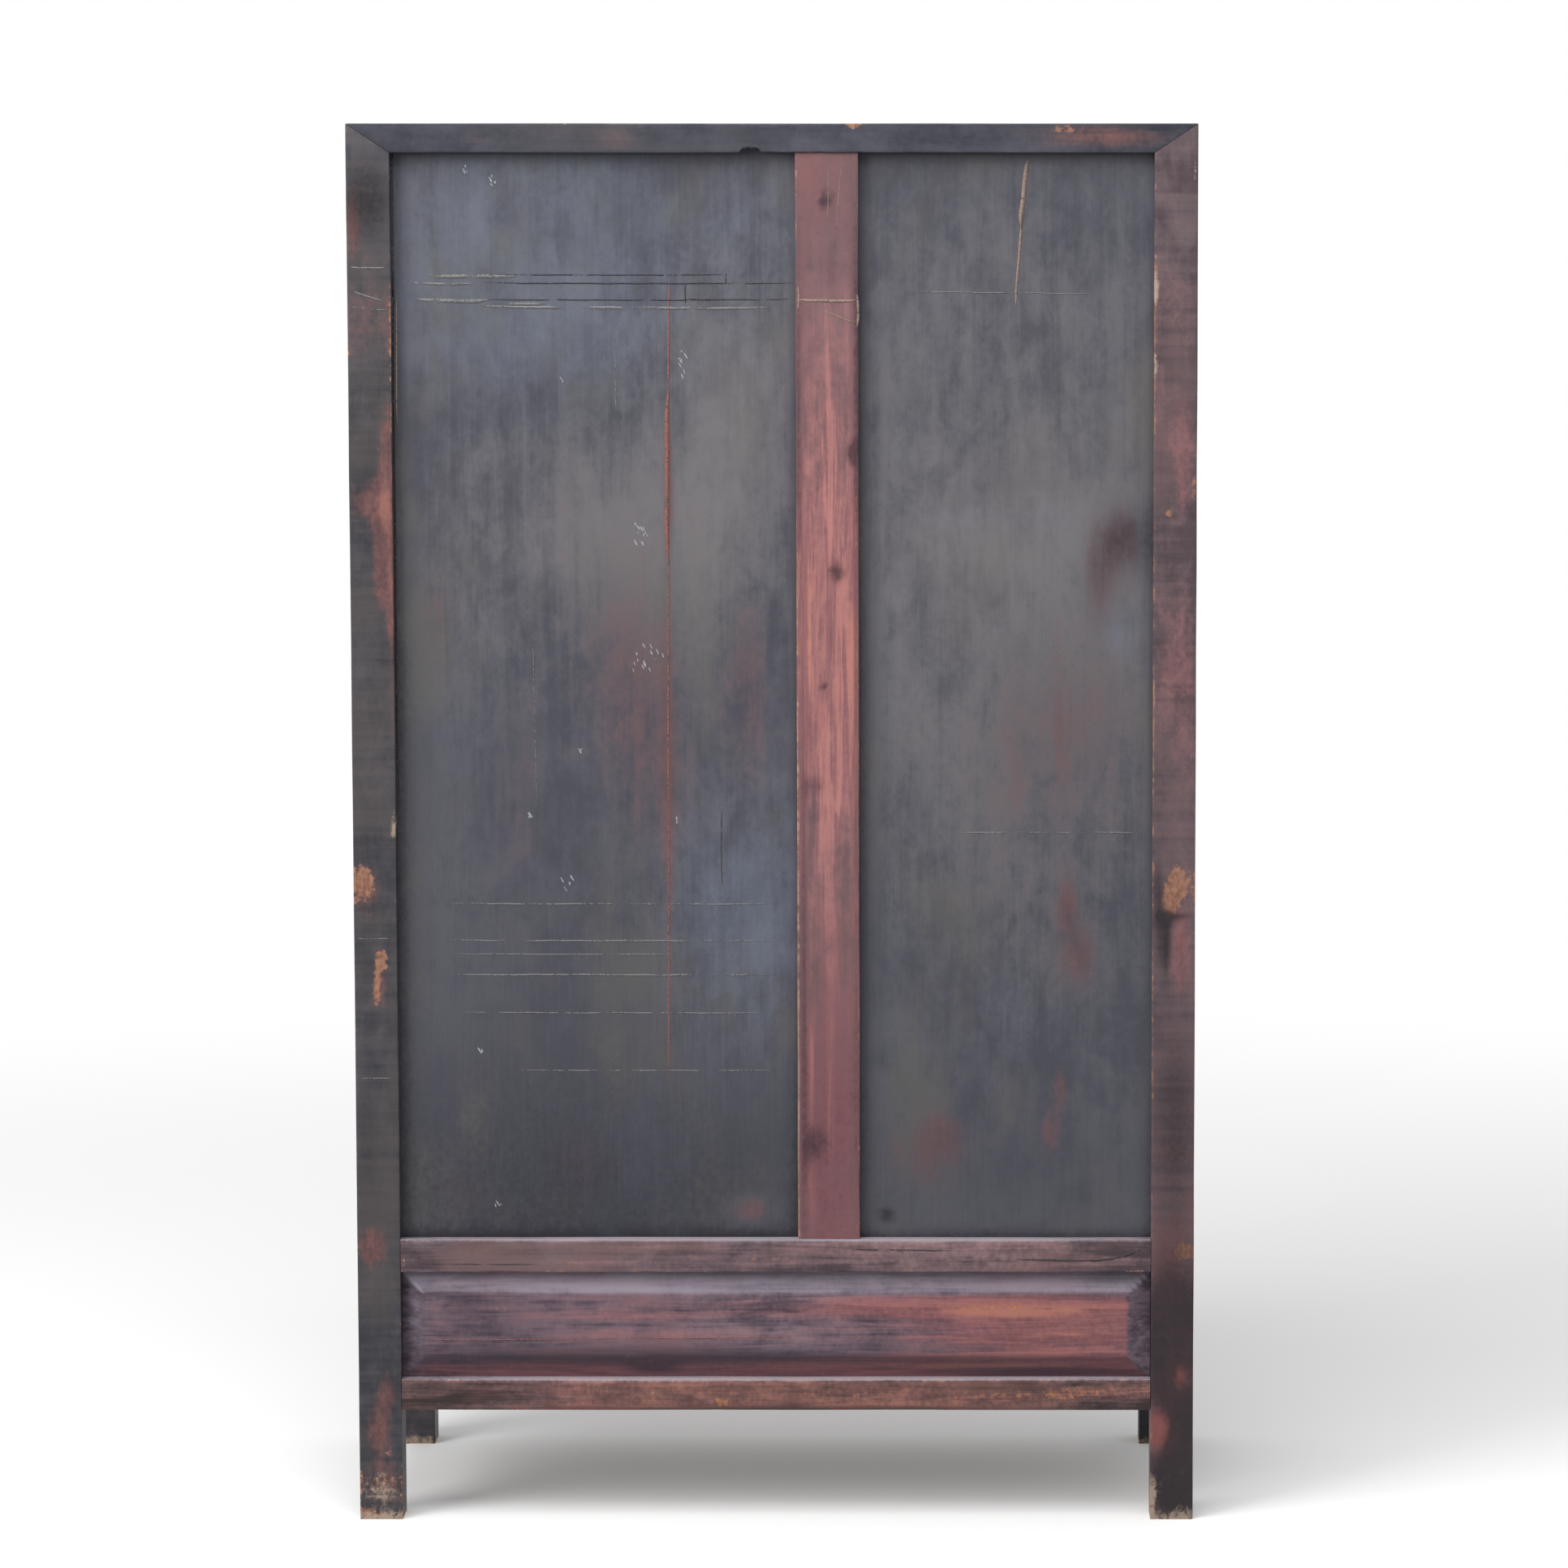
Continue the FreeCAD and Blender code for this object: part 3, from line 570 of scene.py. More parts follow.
# The panels' bluish pale colour is dusting and a painted reflection of a bright sky.
PANEL_COAT = Lacquer(
    name="panel_coat", grain=Axis.Z, top=(0.062, 0.062, 0.08), bloom=(0.104, 0.104, 0.124),
    tint=(0.108, 0.103, 0.1), under=(0.142, 0.086, 0.093), under_deep=(0.1, 0.066, 0.075),
    ember=(0.18, 0.092, 0.094), dust_and_sheen=(0.16, 0.188, 0.25), faded=(0.176, 0.166, 0.172),
    grime_and_shade=(0.016, 0.015, 0.022), redness=-0.02, wear=-0.25, edge_wear=0.0, streaky=0.46, figured=0.3,
    brushed=0.12, sooty=0.35, roughness=0.42,
)
TOP_COAT = replace(PANEL_COAT, name="top_panel_coat", grain=Axis.X)
MULLION_COAT = Lacquer(
    name="mullion_coat", grain=Axis.Z, top=(0.13, 0.08, 0.086), bloom=(0.245, 0.134, 0.142),
    tint=(0.245, 0.114, 0.116), under=(0.455, 0.196, 0.18), under_deep=(0.225, 0.098, 0.112),
    ember=(0.52, 0.215, 0.165), wood=(0.48, 0.27, 0.2), faded=(0.23, 0.082, 0.098),
    grime_and_shade=(0.04, 0.022, 0.032), redness=0.36, edge_wear=0.5, streaky=0.8, figured=0.7, sooty=0.5,
)
# The apron's purple-grey pale colour lightens its upper bevel as dusting and a painted highlight.
APRON_COAT = Lacquer(
    name="apron_coat", grain=Axis.X, top=(0.056, 0.04, 0.058), bloom=(0.22, 0.15, 0.182),
    tint=(0.196, 0.112, 0.128), under=(0.36, 0.146, 0.142), under_deep=(0.16, 0.068, 0.08),
    ember=(0.44, 0.18, 0.14), wood=(0.5, 0.205, 0.105), wood_deep=(0.33, 0.112, 0.064),
    dust_and_sheen=(0.33, 0.295, 0.36), grime_and_shade=(0.034, 0.029, 0.042), redness=0.06, streaky=1.0, figured=0.6,
    brushed=0.3,
)
SIDE_APRON_COAT = replace(APRON_COAT, name="side_apron_coat", grain=Axis.Y)
DRAWER_COAT = replace(
    WARM_RAIL_COAT, name="drawer_coat", top=(0.034, 0.025, 0.028), bloom=(0.076, 0.052, 0.056),
    tint=(0.08, 0.045, 0.038), redness=0.26, edge_wear=0.6, streaky=0.6, brushed=0.15,
)
DRAWER_WOOD = BareWood("drawer_wood", Axis.Y)
DRAWER_WOOD_ACROSS = BareWood("drawer_wood_across", Axis.X)
CRATE_WOOD = BareWood("crate_wood", Axis.Y, painted_front=-0.212)
BOARD_WOOD = BareWood("board_wood", Axis.X, pale=(0.24, 0.155, 0.09))
PALE_SCRATCH = Mark("pale_scratch", (0.235, 0.23, 0.235), (0.140, 0.138, 0.142), 0.60)
TAN_SCRATCH = Mark("tan_scratch", (0.36, 0.255, 0.20), (0.20, 0.145, 0.125), 0.78)
WARM_SCRATCH = Mark("warm_scratch", (0.34, 0.130, 0.092), (0.17, 0.075, 0.070), 0.72)
DARK_CRACK = Mark("dark_crack", (0.010, 0.010, 0.013), (0.03, 0.03, 0.036), 0.66)
WHITE_FLECK = Mark("white_fleck", (0.50, 0.52, 0.56), (0.24, 0.25, 0.28), 0.8)


# Wear, painted highlights and painted shade


@dataclass(frozen=True)
class Patch:
    """A soft-edged place where one kind of wear, painted highlight or painted shade is stronger."""

    wear: Wear
    centre: Triple
    reach: Triple
    strength: float

    def amount(self, points: np.ndarray) -> np.ndarray:
        """How strong the patch is at each point."""
        offset = (points - np.array(self.centre)) / np.array(self.reach)
        return self.strength * np.exp(-PATCH_FALLOFF * np.sum(offset * offset, axis=1))


BACK_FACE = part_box("post_back_left")[1].y
BACK_REACH = 0.045

# Each row: a spot's middle across the cabinet and above the floor and half its width and height, in
# millimetres, and its strength.
# Besides wear and dirt, some patches are painted highlights and painted shade, as said at each piece.
BACK_WEAR_AND_SHADING: dict[str, dict[Wear, list[Row]]] = {
    "post_back_right": {
        Wear.RED: [
            (516, 1630, 12, 50, 0.6), (482, 1330, 9, 80, 0.75), (500, 1285, 30, 34, 0.85),
            (484, 1215, 15, 80, 0.92), (474, 1200, 5, 220, 0.62), (500, 1510, 40, 80, 0.32),
            (508, 800, 20, 45, 0.7), (492, 690, 16, 50, 0.5), (506, 350, 20, 28, 0.85),
            (488, 165, 14, 30, 0.7), (502, 115, 20, 40, 0.75), (500, 45, 50, 34, 0.52),
            (500, 230, 40, 80, 0.14),
        ],
        Wear.DARK: [
            (500, 1655, 40, 60, 0.7), (494, 20, 24, 6, 0.6), (510, 500, 20, 160, 0.42),
            (500, 250, 12, 60, 0.35),
        ],
        Wear.FADED: [(500, 1270, 30, 60, 0.5), (500, 1430, 30, 90, 0.3), (500, 990, 30, 130, 0.26)],
        Wear.BARE: [
            (500, 1304, 26, 4, 0.65), (490, 1352, 5, 30, 0.45), (508, 1256, 12, 5, 0.6),
            (481, 1200, 6, 50, 0.42), (473, 1450, 2, 110, 0.45), (511, 808, 14, 26, 1.3),
            (505, 770, 14, 4, 0.7), (489, 712, 9, 18, 1.15), (497, 678, 6, 32, 1.1),
            (508, 342, 18, 2.5, 0.75), (510, 334, 16, 3, 0.8), (486, 86, 10, 10, 0.6),
            (500, 44, 40, 26, 0.6), (514, 6, 14, 10, 0.9), (500, 0, 60, 9, 0.72),
        ],
        Wear.PALE: [
            (474, 880, 4, 20, 0.9), (510, 333, 16, 3, 0.6), (506, 60, 22, 4, 0.8), (500, 36, 40, 18, 0.72),
            (500, 2, 60, 10, 1.15),
        ],
    },
    "post_back_left": {
        Wear.RED: [
            (-500, 1660, 40, 70, -0.4), (-500, 1540, 40, 80, 0.2), (-498, 1370, 30, 110, 0.34),
            (-510, 1330, 6, 60, 0.7), (-505, 1080, 30, 110, 0.4), (-507, 725, 9, 50, 1.1),
            (-492, 330, 18, 30, 0.7), (-500, 270, 60, 220, 0.18), (-482, 115, 16, 26, 2.2),
            (-508, 184, 12, 22, 1.5),
        ],
        Wear.BARE: [
            (-490, 1270, 8, 9, 0.95), (-519, 1300, 4, 40, 0.6), (-502, 808, 16, 26, 1.4),
            (-492, 780, 12, 16, 1.05), (-508, 708, 6, 22, 0.62), (-511, 343, 10, 11, 1.9),
            (-484, 112, 12, 22, 0.3), (-473, 24, 5, 26, 1.4), (-500, 2, 60, 6, 0.6),
            (-472, 900, 2, 500, 0.3), (-472, 1500, 2, 80, 0.5),
        ],
        Wear.DARK: [
            (-478, 800, 8, 50, 0.6), (-498, 765, 30, 7, 0.7), (-487, 735, 9, 45, 0.85),
            (-482, 115, 18, 28, -1.2), (-500, 110, 50, 50, 1.1), (-508, 184, 12, 22, -0.5),
            (-504, 36, 36, 40, 1.3), (-500, 500, 40, 170, 0.6), (-500, 235, 50, 100, 1.15),
            (-515, 1660, 14, 60, 0.3),
        ],
        Wear.PALE: [
            (-511, 343, 8, 9, 0.45), (-500, 0, 60, 8, 0.85), (-500, 46, 30, 34, 0.34),
            (-504, 12, 30, 10, 0.4), (-473, 24, 5, 26, 1.6), (-473, 1545, 3, 24, 1.1),
            (-473, 1455, 3, 20, 0.9), (-520, 1690, 3, 20, 0.9),
        ],
        Wear.FADED: [(-500, 1580, 40, 170, 0.4)],
    },
    "top_rail_back": {
        Wear.RED: [
            (470, 1732, 60, 20, 0.25), (365, 1732, 22, 16, 0.35), (190, 1732, 35, 18, 0.42),
            (-420, 1735, 90, 20, 0.62),
        ],
        Wear.BARE: [
            (-365, 1742, 30, 6, 0.7), (-440, 1736, 45, 8, 0.5), (-100, 1749, 8, 5, 1.4),
            (524, 1735, 4, 20, 0.9),
        ],
        Wear.PALE: [(0, 1750, 500, 3, 0.4)],
        Wear.FADED: [(280, 1735, 200, 20, 0.35), (195, 1735, 35, 20, 0.4)],
        Wear.DARK: [(40, 1735, 80, 20, 0.15)],
    },
    "waist_rail_back": {
        Wear.PALE: [(0, 359, 700, 3.5, 1.35), (-250, 338, 220, 20, 0.3)],
        Wear.BARE: [
            (20, 334, 70, 3, 0.65), (-230, 326, 60, 4, 0.55), (-100, 336, 30, 3, 0.55),
            (466, 336, 6, 18, 0.7), (-455, 325, 22, 10, 0.55),
        ],
        Wear.RED: [(-250, 340, 220, 22, 0.36), (380, 336, 140, 30, -0.3)],
        Wear.FADED: [(-150, 335, 350, 18, 0.42), (380, 338, 140, 30, 0.42)],
        Wear.DARK: [(380, 336, 140, 30, 0.16), (-360, 330, 80, 3, 0.75), (-180, 346, 90, 2, 0.55)],
    },
    "bottom_rail_back": {
        Wear.PALE: [(0, 181, 700, 3, 1.5)],
        Wear.BARE: [
            (190, 160, 90, 8, 0.5), (-60, 162, 150, 12, 0.52), (68, 150, 6, 8, 1.2),
            (-330, 162, 140, 12, 0.62),
        ],
        Wear.DARK: [
            (110, 156, 12, 8, 0.6), (-20, 152, 20, 6, 0.6), (-150, 170, 16, 7, 0.6),
            (400, 166, 60, 16, 0.3), (-255, 168, 40, 10, 0.5), (285, 158, 14, 14, 0.5),
            (0, 142, 500, 4, 0.6),
        ],
        Wear.RED: [(-100, 160, 480, 25, 0.45)],
    },
    # The long narrow dark strips down its two sides are painted shade and dirt.
    "back_mullion": {
        Wear.DARK: [
            (-67, 1660, 70, 170, 0.32), (-98, 1345, 12, 14, 0.6), (-30, 1370, 8, 240, 0.55),
            (-105, 1420, 8, 240, 0.55), (-70, 1115, 12, 40, 0.4), (-67, 450, 70, 300, 0.36),
            (-50, 480, 14, 20, 0.4), (-66, 1655, 7, 10, 0.6), (-78, 1197, 12, 16, 0.75),
            (-60, 1055, 6, 7, 0.85), (-36, 800, 6, 450, 0.45), (-102, 900, 6, 450, 0.4),
            (-50, 930, 12, 16, 0.5),
        ],
        Wear.RED: [
            (-67, 1640, 70, 160, -0.42), (-46, 1110, 6, 130, 0.55), (-97, 1080, 5, 150, 0.55),
            (-67, 470, 70, 300, -0.32), (-45, 410, 10, 50, 0.5), (-70, 520, 6, 110, 0.42),
            (-44, 600, 5, 140, 0.38), (-67, 1150, 60, 260, 0.45),
        ],
        Wear.FADED: [(-67, 480, 70, 330, 0.66)],
        Wear.BARE: [
            (-67, 1533, 40, 6, 0.38), (-83, 1358, 7, 18, 0.65), (-75, 1120, 16, 200, 0.22),
            (-50, 960, 12, 150, 0.22), (-29, 700, 2.5, 500, 0.55),
        ],
        Wear.PALE: [(-29, 550, 2.5, 250, 0.5)],
    },
    # The pale patches near the top are dusting and a painted reflection of a bright sky, the narrow dark
    # strip by the post is painted shade and dirt, and the big dark patch low down makes the panel darker
    # towards the bottom.
    "back_panel_wide": {
        Wear.PALE: [
            (220, 1650, 340, 140, 0.47), (280, 1480, 220, 110, 0.5), (40, 760, 110, 160, 0.74),
            (220, 470, 260, 150, 0.26),
        ],
        Wear.FADED: [
            (60, 1450, 150, 210, 0.55), (330, 1280, 230, 130, 0.42), (230, 1220, 200, 150, 0.32),
            (250, 1080, 260, 150, 0.25), (50, 1200, 100, 200, 0.32),
        ],
        Wear.RED: [
            (340, 1290, 160, 60, 0.22), (230, 1100, 120, 160, 0.4), (160, 960, 70, 180, 0.46),
            (129, 1330, 7, 120, 0.85), (132, 850, 10, 280, 0.52), (35, 1060, 36, 160, 0.66),
            (425, 1150, 36, 70, 0.45), (325, 880, 50, 130, 0.35), (30, 392, 28, 18, 1.1),
            (250, 450, 70, 60, 0.6), (400, 420, 40, 90, 0.55),
        ],
        Wear.DARK: [
            (230, 410, 420, 220, 0.74), (300, 720, 200, 160, 0.2), (455, 1150, 30, 600, 0.3),
            (350, 950, 150, 150, 0.2), (30, 392, 30, 20, -0.5),
        ],
    },
    # The pale patches across the fold and by the post are painted highlights of the warped panel, with
    # painted shade just above the fold; the narrow dark strip by the mullion is painted shade, and the big
    # dark patch low down makes the panel darker towards the bottom.
    "back_panel_narrow": {
        Wear.FADED: [
            (-290, 1380, 300, 380, 0.52), (-300, 960, 280, 320, 0.55), (-290, 1240, 200, 70, 0.28),
        ],
        Wear.PALE: [
            (-300, 1262, 130, 26, 0.32), (-250, 1180, 110, 90, 0.2), (-432, 1115, 26, 40, 0.45),
            (-300, 640, 80, 70, 0.28),
        ],
        Wear.DARK: [
            (-300, 1306, 90, 20, 0.3), (-440, 1236, 44, 50, 0.62), (-402, 1190, 20, 50, 0.3),
            (-290, 430, 280, 140, 0.34), (-125, 1000, 20, 600, 0.3), (-140, 386, 10, 9, 0.8),
        ],
        Wear.RED: [
            (-432, 1236, 44, 50, 0.65), (-404, 1180, 20, 50, 0.5), (-350, 990, 130, 170, 0.54),
            (-366, 775, 12, 36, 0.8), (-380, 715, 22, 40, 0.62), (-358, 548, 12, 30, 0.85),
            (-345, 490, 16, 35, 0.75), (-212, 490, 24, 30, 0.75), (-180, 460, 70, 50, 0.45),
            (-300, 600, 200, 260, 0.2),
        ],
    },
    # The dark bands low on the apron deepen the painted shade of its lower bevel.
    "back_apron_panel": {
        Wear.RED: [
            (-360, 250, 190, 55, 0.7), (-240, 268, 200, 10, 0.45), (0, 266, 260, 12, 0.3),
            (458, 250, 16, 60, -0.8), (-456, 250, 12, 60, 0.25), (-280, 262, 110, 6, 0.55),
            (-370, 236, 60, 5, 0.45), (-220, 193, 240, 6, 0.55),
        ],
        Wear.DARK: [
            (370, 250, 110, 50, 0.36), (150, 211, 360, 12, 0.66), (-330, 186, 160, 6, 0.5),
            (155, 195, 30, 10, 0.6),
        ],
        Wear.FADED: [(0, 250, 130, 40, 0.25)],
        Wear.PALE: [(0, 250, 130, 40, 0.28), (456, 250, 12, 60, 0.14)],
        Wear.BARE: [
            (-300, 270, 140, 6, 0.6), (-130, 264, 60, 4, 0.5), (-330, 230, 110, 5, 0.5),
            (360, 268, 80, 6, 0.45), (80, 266, 80, 6, 0.4), (-100, 192, 330, 5, 0.55),
            (350, 192, 90, 5, 0.5),
        ],
    },
}


def back_wear_and_shading(node: str) -> list[Patch]:
    """The wear, painted highlights and painted shade of a piece of the panelled back.

    Args:
        node: The piece's node.

    Returns:
        Its patches, or none for a piece without wear of its own.
    """
    patches = []
    for wear, spots in BACK_WEAR_AND_SHADING.get(node, {}).items():
        for *sizes, strength in spots:
            x, z, half_width, half_height = (size / MM_PER_METRE for size in sizes)
            reach = (half_width, BACK_REACH, half_height)
            patches.append(Patch(wear, (x, BACK_FACE, z), reach, strength))
    return patches


# Sizes from the frame


@dataclass
class Box:
    """The lowest and highest corners of a piece."""

    low: Vector
    high: Vector

    def size(self) -> Vector:
        """The edge lengths."""
        return self.high - self.low

    def middle(self) -> Vector:
        """The middle."""
        return (self.low + self.high) / 2

    def between(self, axis: Axis, low: float, high: float) -> "Box":
        """The same box with other limits along one axis.

        Args:
            axis: The axis.
            low: The lower limit.
            high: The upper limit.

        Returns:
            The new box.
        """
        lower, upper = self.low.copy(), self.high.copy()
        lower[axis.value], upper[axis.value] = low, high
        return Box(lower, upper)


def node_box(node: str) -> Box:
    """The box of a CAD node."""
    return Box(*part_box(node))


def solids(node: str) -> list[Box]:
    """The boxes of the separate solids in a CAD node, also of solids that touch along an edge.

    Args:
        node: The node's name.

    Returns:
        One box for each solid, the lowest first.
    """
    mesh = frame["nodes"][node].data
    places = [tuple(round(part, 6) for part in vertex.co) for vertex in mesh.vertices]
    sharing: dict[frozenset[Triple], list[int]] = {}
    for face in mesh.polygons:
        corners = [places[vertex] for vertex in face.vertices]
        for ends in zip(corners, corners[1:] + corners[:1]):
            sharing.setdefault(frozenset(ends), []).append(face.index)
    neighbours: dict[int, list[int]] = {face.index: [] for face in mesh.polygons}
    for faces in sharing.values():
        if len(faces) == 2:
            neighbours[faces[0]].append(faces[1])
            neighbours[faces[1]].append(faces[0])
    waiting = set(neighbours)
    boxes = []
    while waiting:
        reached = [waiting.pop()]
        for face in reached:
            fresh = [other for other in neighbours[face] if other in waiting]
            waiting.difference_update(fresh)
            reached.extend(fresh)
        corners = np.array([places[vertex] for face in reached for vertex in mesh.polygons[face].vertices])
        boxes.append(Box(Vector(corners.min(0)), Vector(corners.max(0))))
    return sorted(boxes, key=lambda box: tuple(round(part, 5) for part in reversed(box.low)))


# Meshes


def wander(seed: int, places: np.ndarray, spacing: float) -> np.ndarray:
    """A random line between 0 and 1 along a piece.

    Args:
        seed: Chooses the line.
        places: Where it is read, in metres.
        spacing: The distance between its turning points.

    Returns:
        The line's height at each place.
    """
    knots = np.arange(places.min() - spacing, places.max() + 2 * spacing, spacing)
    return np.interp(places, knots, np.random.default_rng(seed).random(len(knots)))


def stations(length: float, pitch: float, margins: Sequence[float] = ()) -> np.ndarray:
    """Places along a length, evenly spread between margins that are closer to the ends.

    Args:
        length: The whole length.
        pitch: About how far apart the even places are.
        margins: Distances of the closer places from each end.

    Returns:
        The places, from 0 to the length.
    """
    first = margins[-1] if margins else 0.0
    count = max(2, round((length - 2 * first) / pitch) + 1)
    near = [0.0, *margins[:-1]] if margins else []
    even = np.linspace(first, length - first, count)
    return np.array([*near, *even, *(length - place for place in reversed(near))])


@dataclass
class WornBar:
    """A length of square stock with softened and chipped arrises.

    The runs are the lengths over which a face dips, an arris is chipped, and its chips come and go.
    """

    box: Box
    axis: Axis
    seed: int
    arris: float = 0.0011
    chip: float = 0.0026
    wave: float = 0.0005
    pitch: float = 0.009
    arc_steps: int = 3
    open_ends: bool = False
    cuts: list[tuple[Vector, Vector]] = field(default_factory=list)
    end_margin: float = 0.003
    face_pitch: float = 0.008
    face_margins: tuple[float, ...] = (0.004, 0.009)
    dip_run: float = 0.11
    chip_run: float = 0.016
    spell_run: float = 0.09
    raggedness: float = 2.2
    dip_seed: int = 20
    spell_seed: int = 9

    def sections(self, steps: np.ndarray, half: np.ndarray) -> np.ndarray:
        """The bar's rounded, chipped and dipped outlines.

        Args:
            steps: Where along the bar they are.
            half: Half the bar's width and height.

        Returns:
            For each step, the points round the bar's middle.
        """
        outline = []
        for corner, (sign_u, sign_v) in enumerate(((1, 1), (-1, 1), (-1, -1), (1, -1))):
            rough = wander(self.seed + corner, steps, self.chip_run)
            rough = rough * wander(self.seed + self.spell_seed + corner, steps, self.spell_run)
            radius = self.arris + self.chip * rough ** self.raggedness
            for step in range(self.arc_steps + 1):
                angle = math.radians(90 * corner + 90 * step / self.arc_steps)
                u = sign_u * (half[0] - radius) + radius * math.cos(angle)
                v = sign_v * (half[1] - radius) + radius * math.sin(angle)
                outline.append(np.stack([u, v], 1))
            flat = half[corner % 2]
            for place in stations(2 * flat, self.face_pitch, self.face_margins)[1:-1] - flat:
                faces = ((-place, half[1]), (-half[0], -place), (place, -half[1]), (half[0], place))
                outline.append(np.tile(faces[corner], (len(steps), 1)))
        points = np.stack(outline, 1)
        for side in range(4):
            dip = self.wave * wander(self.seed + self.dip_seed + side, steps, self.dip_run)
            axis, sign = side % 2, 1 if side < 2 else -1
            outer = points[:, :, axis] * sign > half[axis] - self.arris * 0.5
            points[:, :, axis] -= sign * np.where(outer, dip[:, None], 0.0)
        return points

    def mesh(self) -> bmesh.types.BMesh:
        """Lofts the bar through its outlines and saws its ends.

        Returns:
            The closed mesh.
        """
        turn = [(self.axis.value + place) % 3 for place in range(3)]
        low = np.array(self.box.low)[turn]
        high = np.array(self.box.high)[turn]
        steps = low[0] + stations(high[0] - low[0], self.pitch, (self.end_margin,))
        sections = self.sections(steps, (high[1:] - low[1:]) / 2) + (low[1:] + high[1:]) / 2

        places = np.empty((*sections.shape[:2], 3))
        places[:, :, turn[0]] = steps[:, None]
        places[:, :, turn[1:]] = sections

        mesh = bmesh.new()
        rows = [[mesh.verts.new(place) for place in row] for row in places]
        for lower, upper in zip(rows, rows[1:]):
            for place in range(len(lower)):
                after = (place + 1) % len(lower)
                mesh.faces.new((lower[place], lower[after], upper[after], upper[place]))
        mesh.faces.new(reversed(rows[0]))
        mesh.faces.new(rows[-1])
        for point, outward in self.cuts:
            saw(mesh, point, outward)
        bmesh.ops.recalc_face_normals(mesh, faces=mesh.faces)
        return mesh

    def edge(self, points: np.ndarray) -> np.ndarray:
        """How near each point is to an arris, from 0 to 1."""
        return arris_share(self.box, points, None if self.open_ends else self.axis)


def saw(mesh: bmesh.types.BMesh, point: Vector, outward: Vector) -> None:
    """Takes away what lies outside a plane and closes the cut.

    Args:
        mesh: The mesh to cut.
        point: A point of the plane.
        outward: The plane's direction towards the waste.
    """
    everything = [*mesh.verts, *mesh.edges, *mesh.faces]
    plane = {"plane_co": point, "plane_no": outward, "dist": SAME_PLACE}
    bmesh.ops.bisect_plane(mesh, geom=everything, clear_outer=True, **plane)
    bmesh.ops.holes_fill(mesh, edges=[edge for edge in mesh.edges if edge.is_boundary], sides=0)


ARRIS_REACH = 0.0055
ARRIS_FULL = 1.15


def arris_share(box: Box, points: np.ndarray, skipped: Optional[Axis] = None) -> np.ndarray:
    """How near points are to an edge of a box.

    Args:
        box: The box.
        points: The points.
        skipped: The axis whose end edges don't count.

    Returns:
        1 on an edge, falling to 0.
    """
    depth = np.minimum(points - np.array(box.low), np.array(box.high) - points)
    if skipped is not None:
        depth[:, skipped.value] = 1.0
    return np.clip(ARRIS_FULL - np.sort(depth, axis=1)[:, 1] / ARRIS_REACH, 0.0, 1.0)


@dataclass
class Board:
    """A board that is seen mainly from one face, with relief over that face.

    The relief is a depth below the outer face at a distance from the lower edges.
    """

    box: Box
    facing: Axis
    outward: int
    relief: Relief
    pitch: float = 0.008
    margins: tuple[float, ...] = (0.001, 0.003, 0.006)

    def mesh(self) -> bmesh.types.BMesh:
        """Builds the face as a grid and closes it with plain sides and a plain back.

        Returns:
            The closed mesh.
        """
        across = [axis.value for axis in Axis if axis is not self.facing]
        low = np.array(self.box.low)
        size = np.array(self.box.size())
        columns = stations(size[across[0]], self.pitch, self.margins)
        rows = stations(size[across[1]], self.pitch, self.margins)
        grid_u, grid_v = np.meshgrid(columns, rows, indexing="ij")
        face, back = self.box.high, self.box.low
        if self.outward < 0:
            face, back = back, face
        places = np.empty((*grid_u.shape, 3))
        places[:, :, across[0]] = low[across[0]] + grid_u
        places[:, :, across[1]] = low[across[1]] + grid_v
        depth = self.relief(grid_u, grid_v)
        places[:, :, self.facing.value] = face[self.facing.value] - self.outward * depth

        mesh = bmesh.new()
        grid = [[mesh.verts.new(place) for place in line] for line in places]
        for near, far in zip(grid, grid[1:]):
            for place in range(len(rows) - 1):
                mesh.faces.new((near[place], far[place], far[place + 1], near[place + 1]))
        rim = [line[0] for line in grid] + grid[-1][1:]
        rim += [line[-1] for line in grid[-2::-1]] + grid[0][-2:0:-1]
        floor = []
        for corner in rim:
            place = corner.co.copy()
            place[self.facing.value] = back[self.facing.value]
            floor.append(mesh.verts.new(place))
        for place, corner in enumerate(rim):
            before = place - 1
            mesh.faces.new((rim[before], floor[before], floor[place], corner))
        mesh.faces.new(floor)
        bmesh.ops.recalc_face_normals(mesh, faces=mesh.faces)
        return mesh

    def edge(self, points: np.ndarray) -> np.ndarray:
        """How near each point is to an edge, from 0 to 1."""
        return arris_share(self.box, points)


@dataclass
class Plank:
    """A plain board with eased edges."""

    box: Box
    ease: float = 0.0008

    def mesh(self) -> bmesh.types.BMesh:
        """Builds the board.

        Returns:
            The closed mesh.
        """
        mesh = bmesh.new()
        bmesh.ops.create_cube(mesh, size=1.0)
        size, middle = self.box.size(), self.box.middle()
        for vertex in mesh.verts:
            vertex.co = Vector(part * length for part, length in zip(vertex.co, size)) + middle
        edges = list(mesh.edges)
        bmesh.ops.bevel(mesh, geom=edges, offset=self.ease, segments=2, profile=0.5, affect="EDGES")
        return mesh


def rim_distance(u: np.ndarray, v: np.ndarray, width: float, height: float) -> np.ndarray:
    """How far places on a face are from its nearest edge."""
    return np.minimum(np.minimum(u, width - u), np.minimum(v, height - v))


def eased(width: float, height: float, radius: float) -> Relief:
    """A flat face with rounded edges.

    Args:
        width: The face's width.
        height: The face's height.
        radius: How round the edges are.

    Returns:
        The relief.
    """

    def relief(u: np.ndarray, v: np.ndarray) -> np.ndarray:
        """Depth below the face."""
        short = np.clip(radius - rim_distance(u, v, width, height), 0.0, radius)
        return radius - np.sqrt(radius * radius - short * short)

    return relief


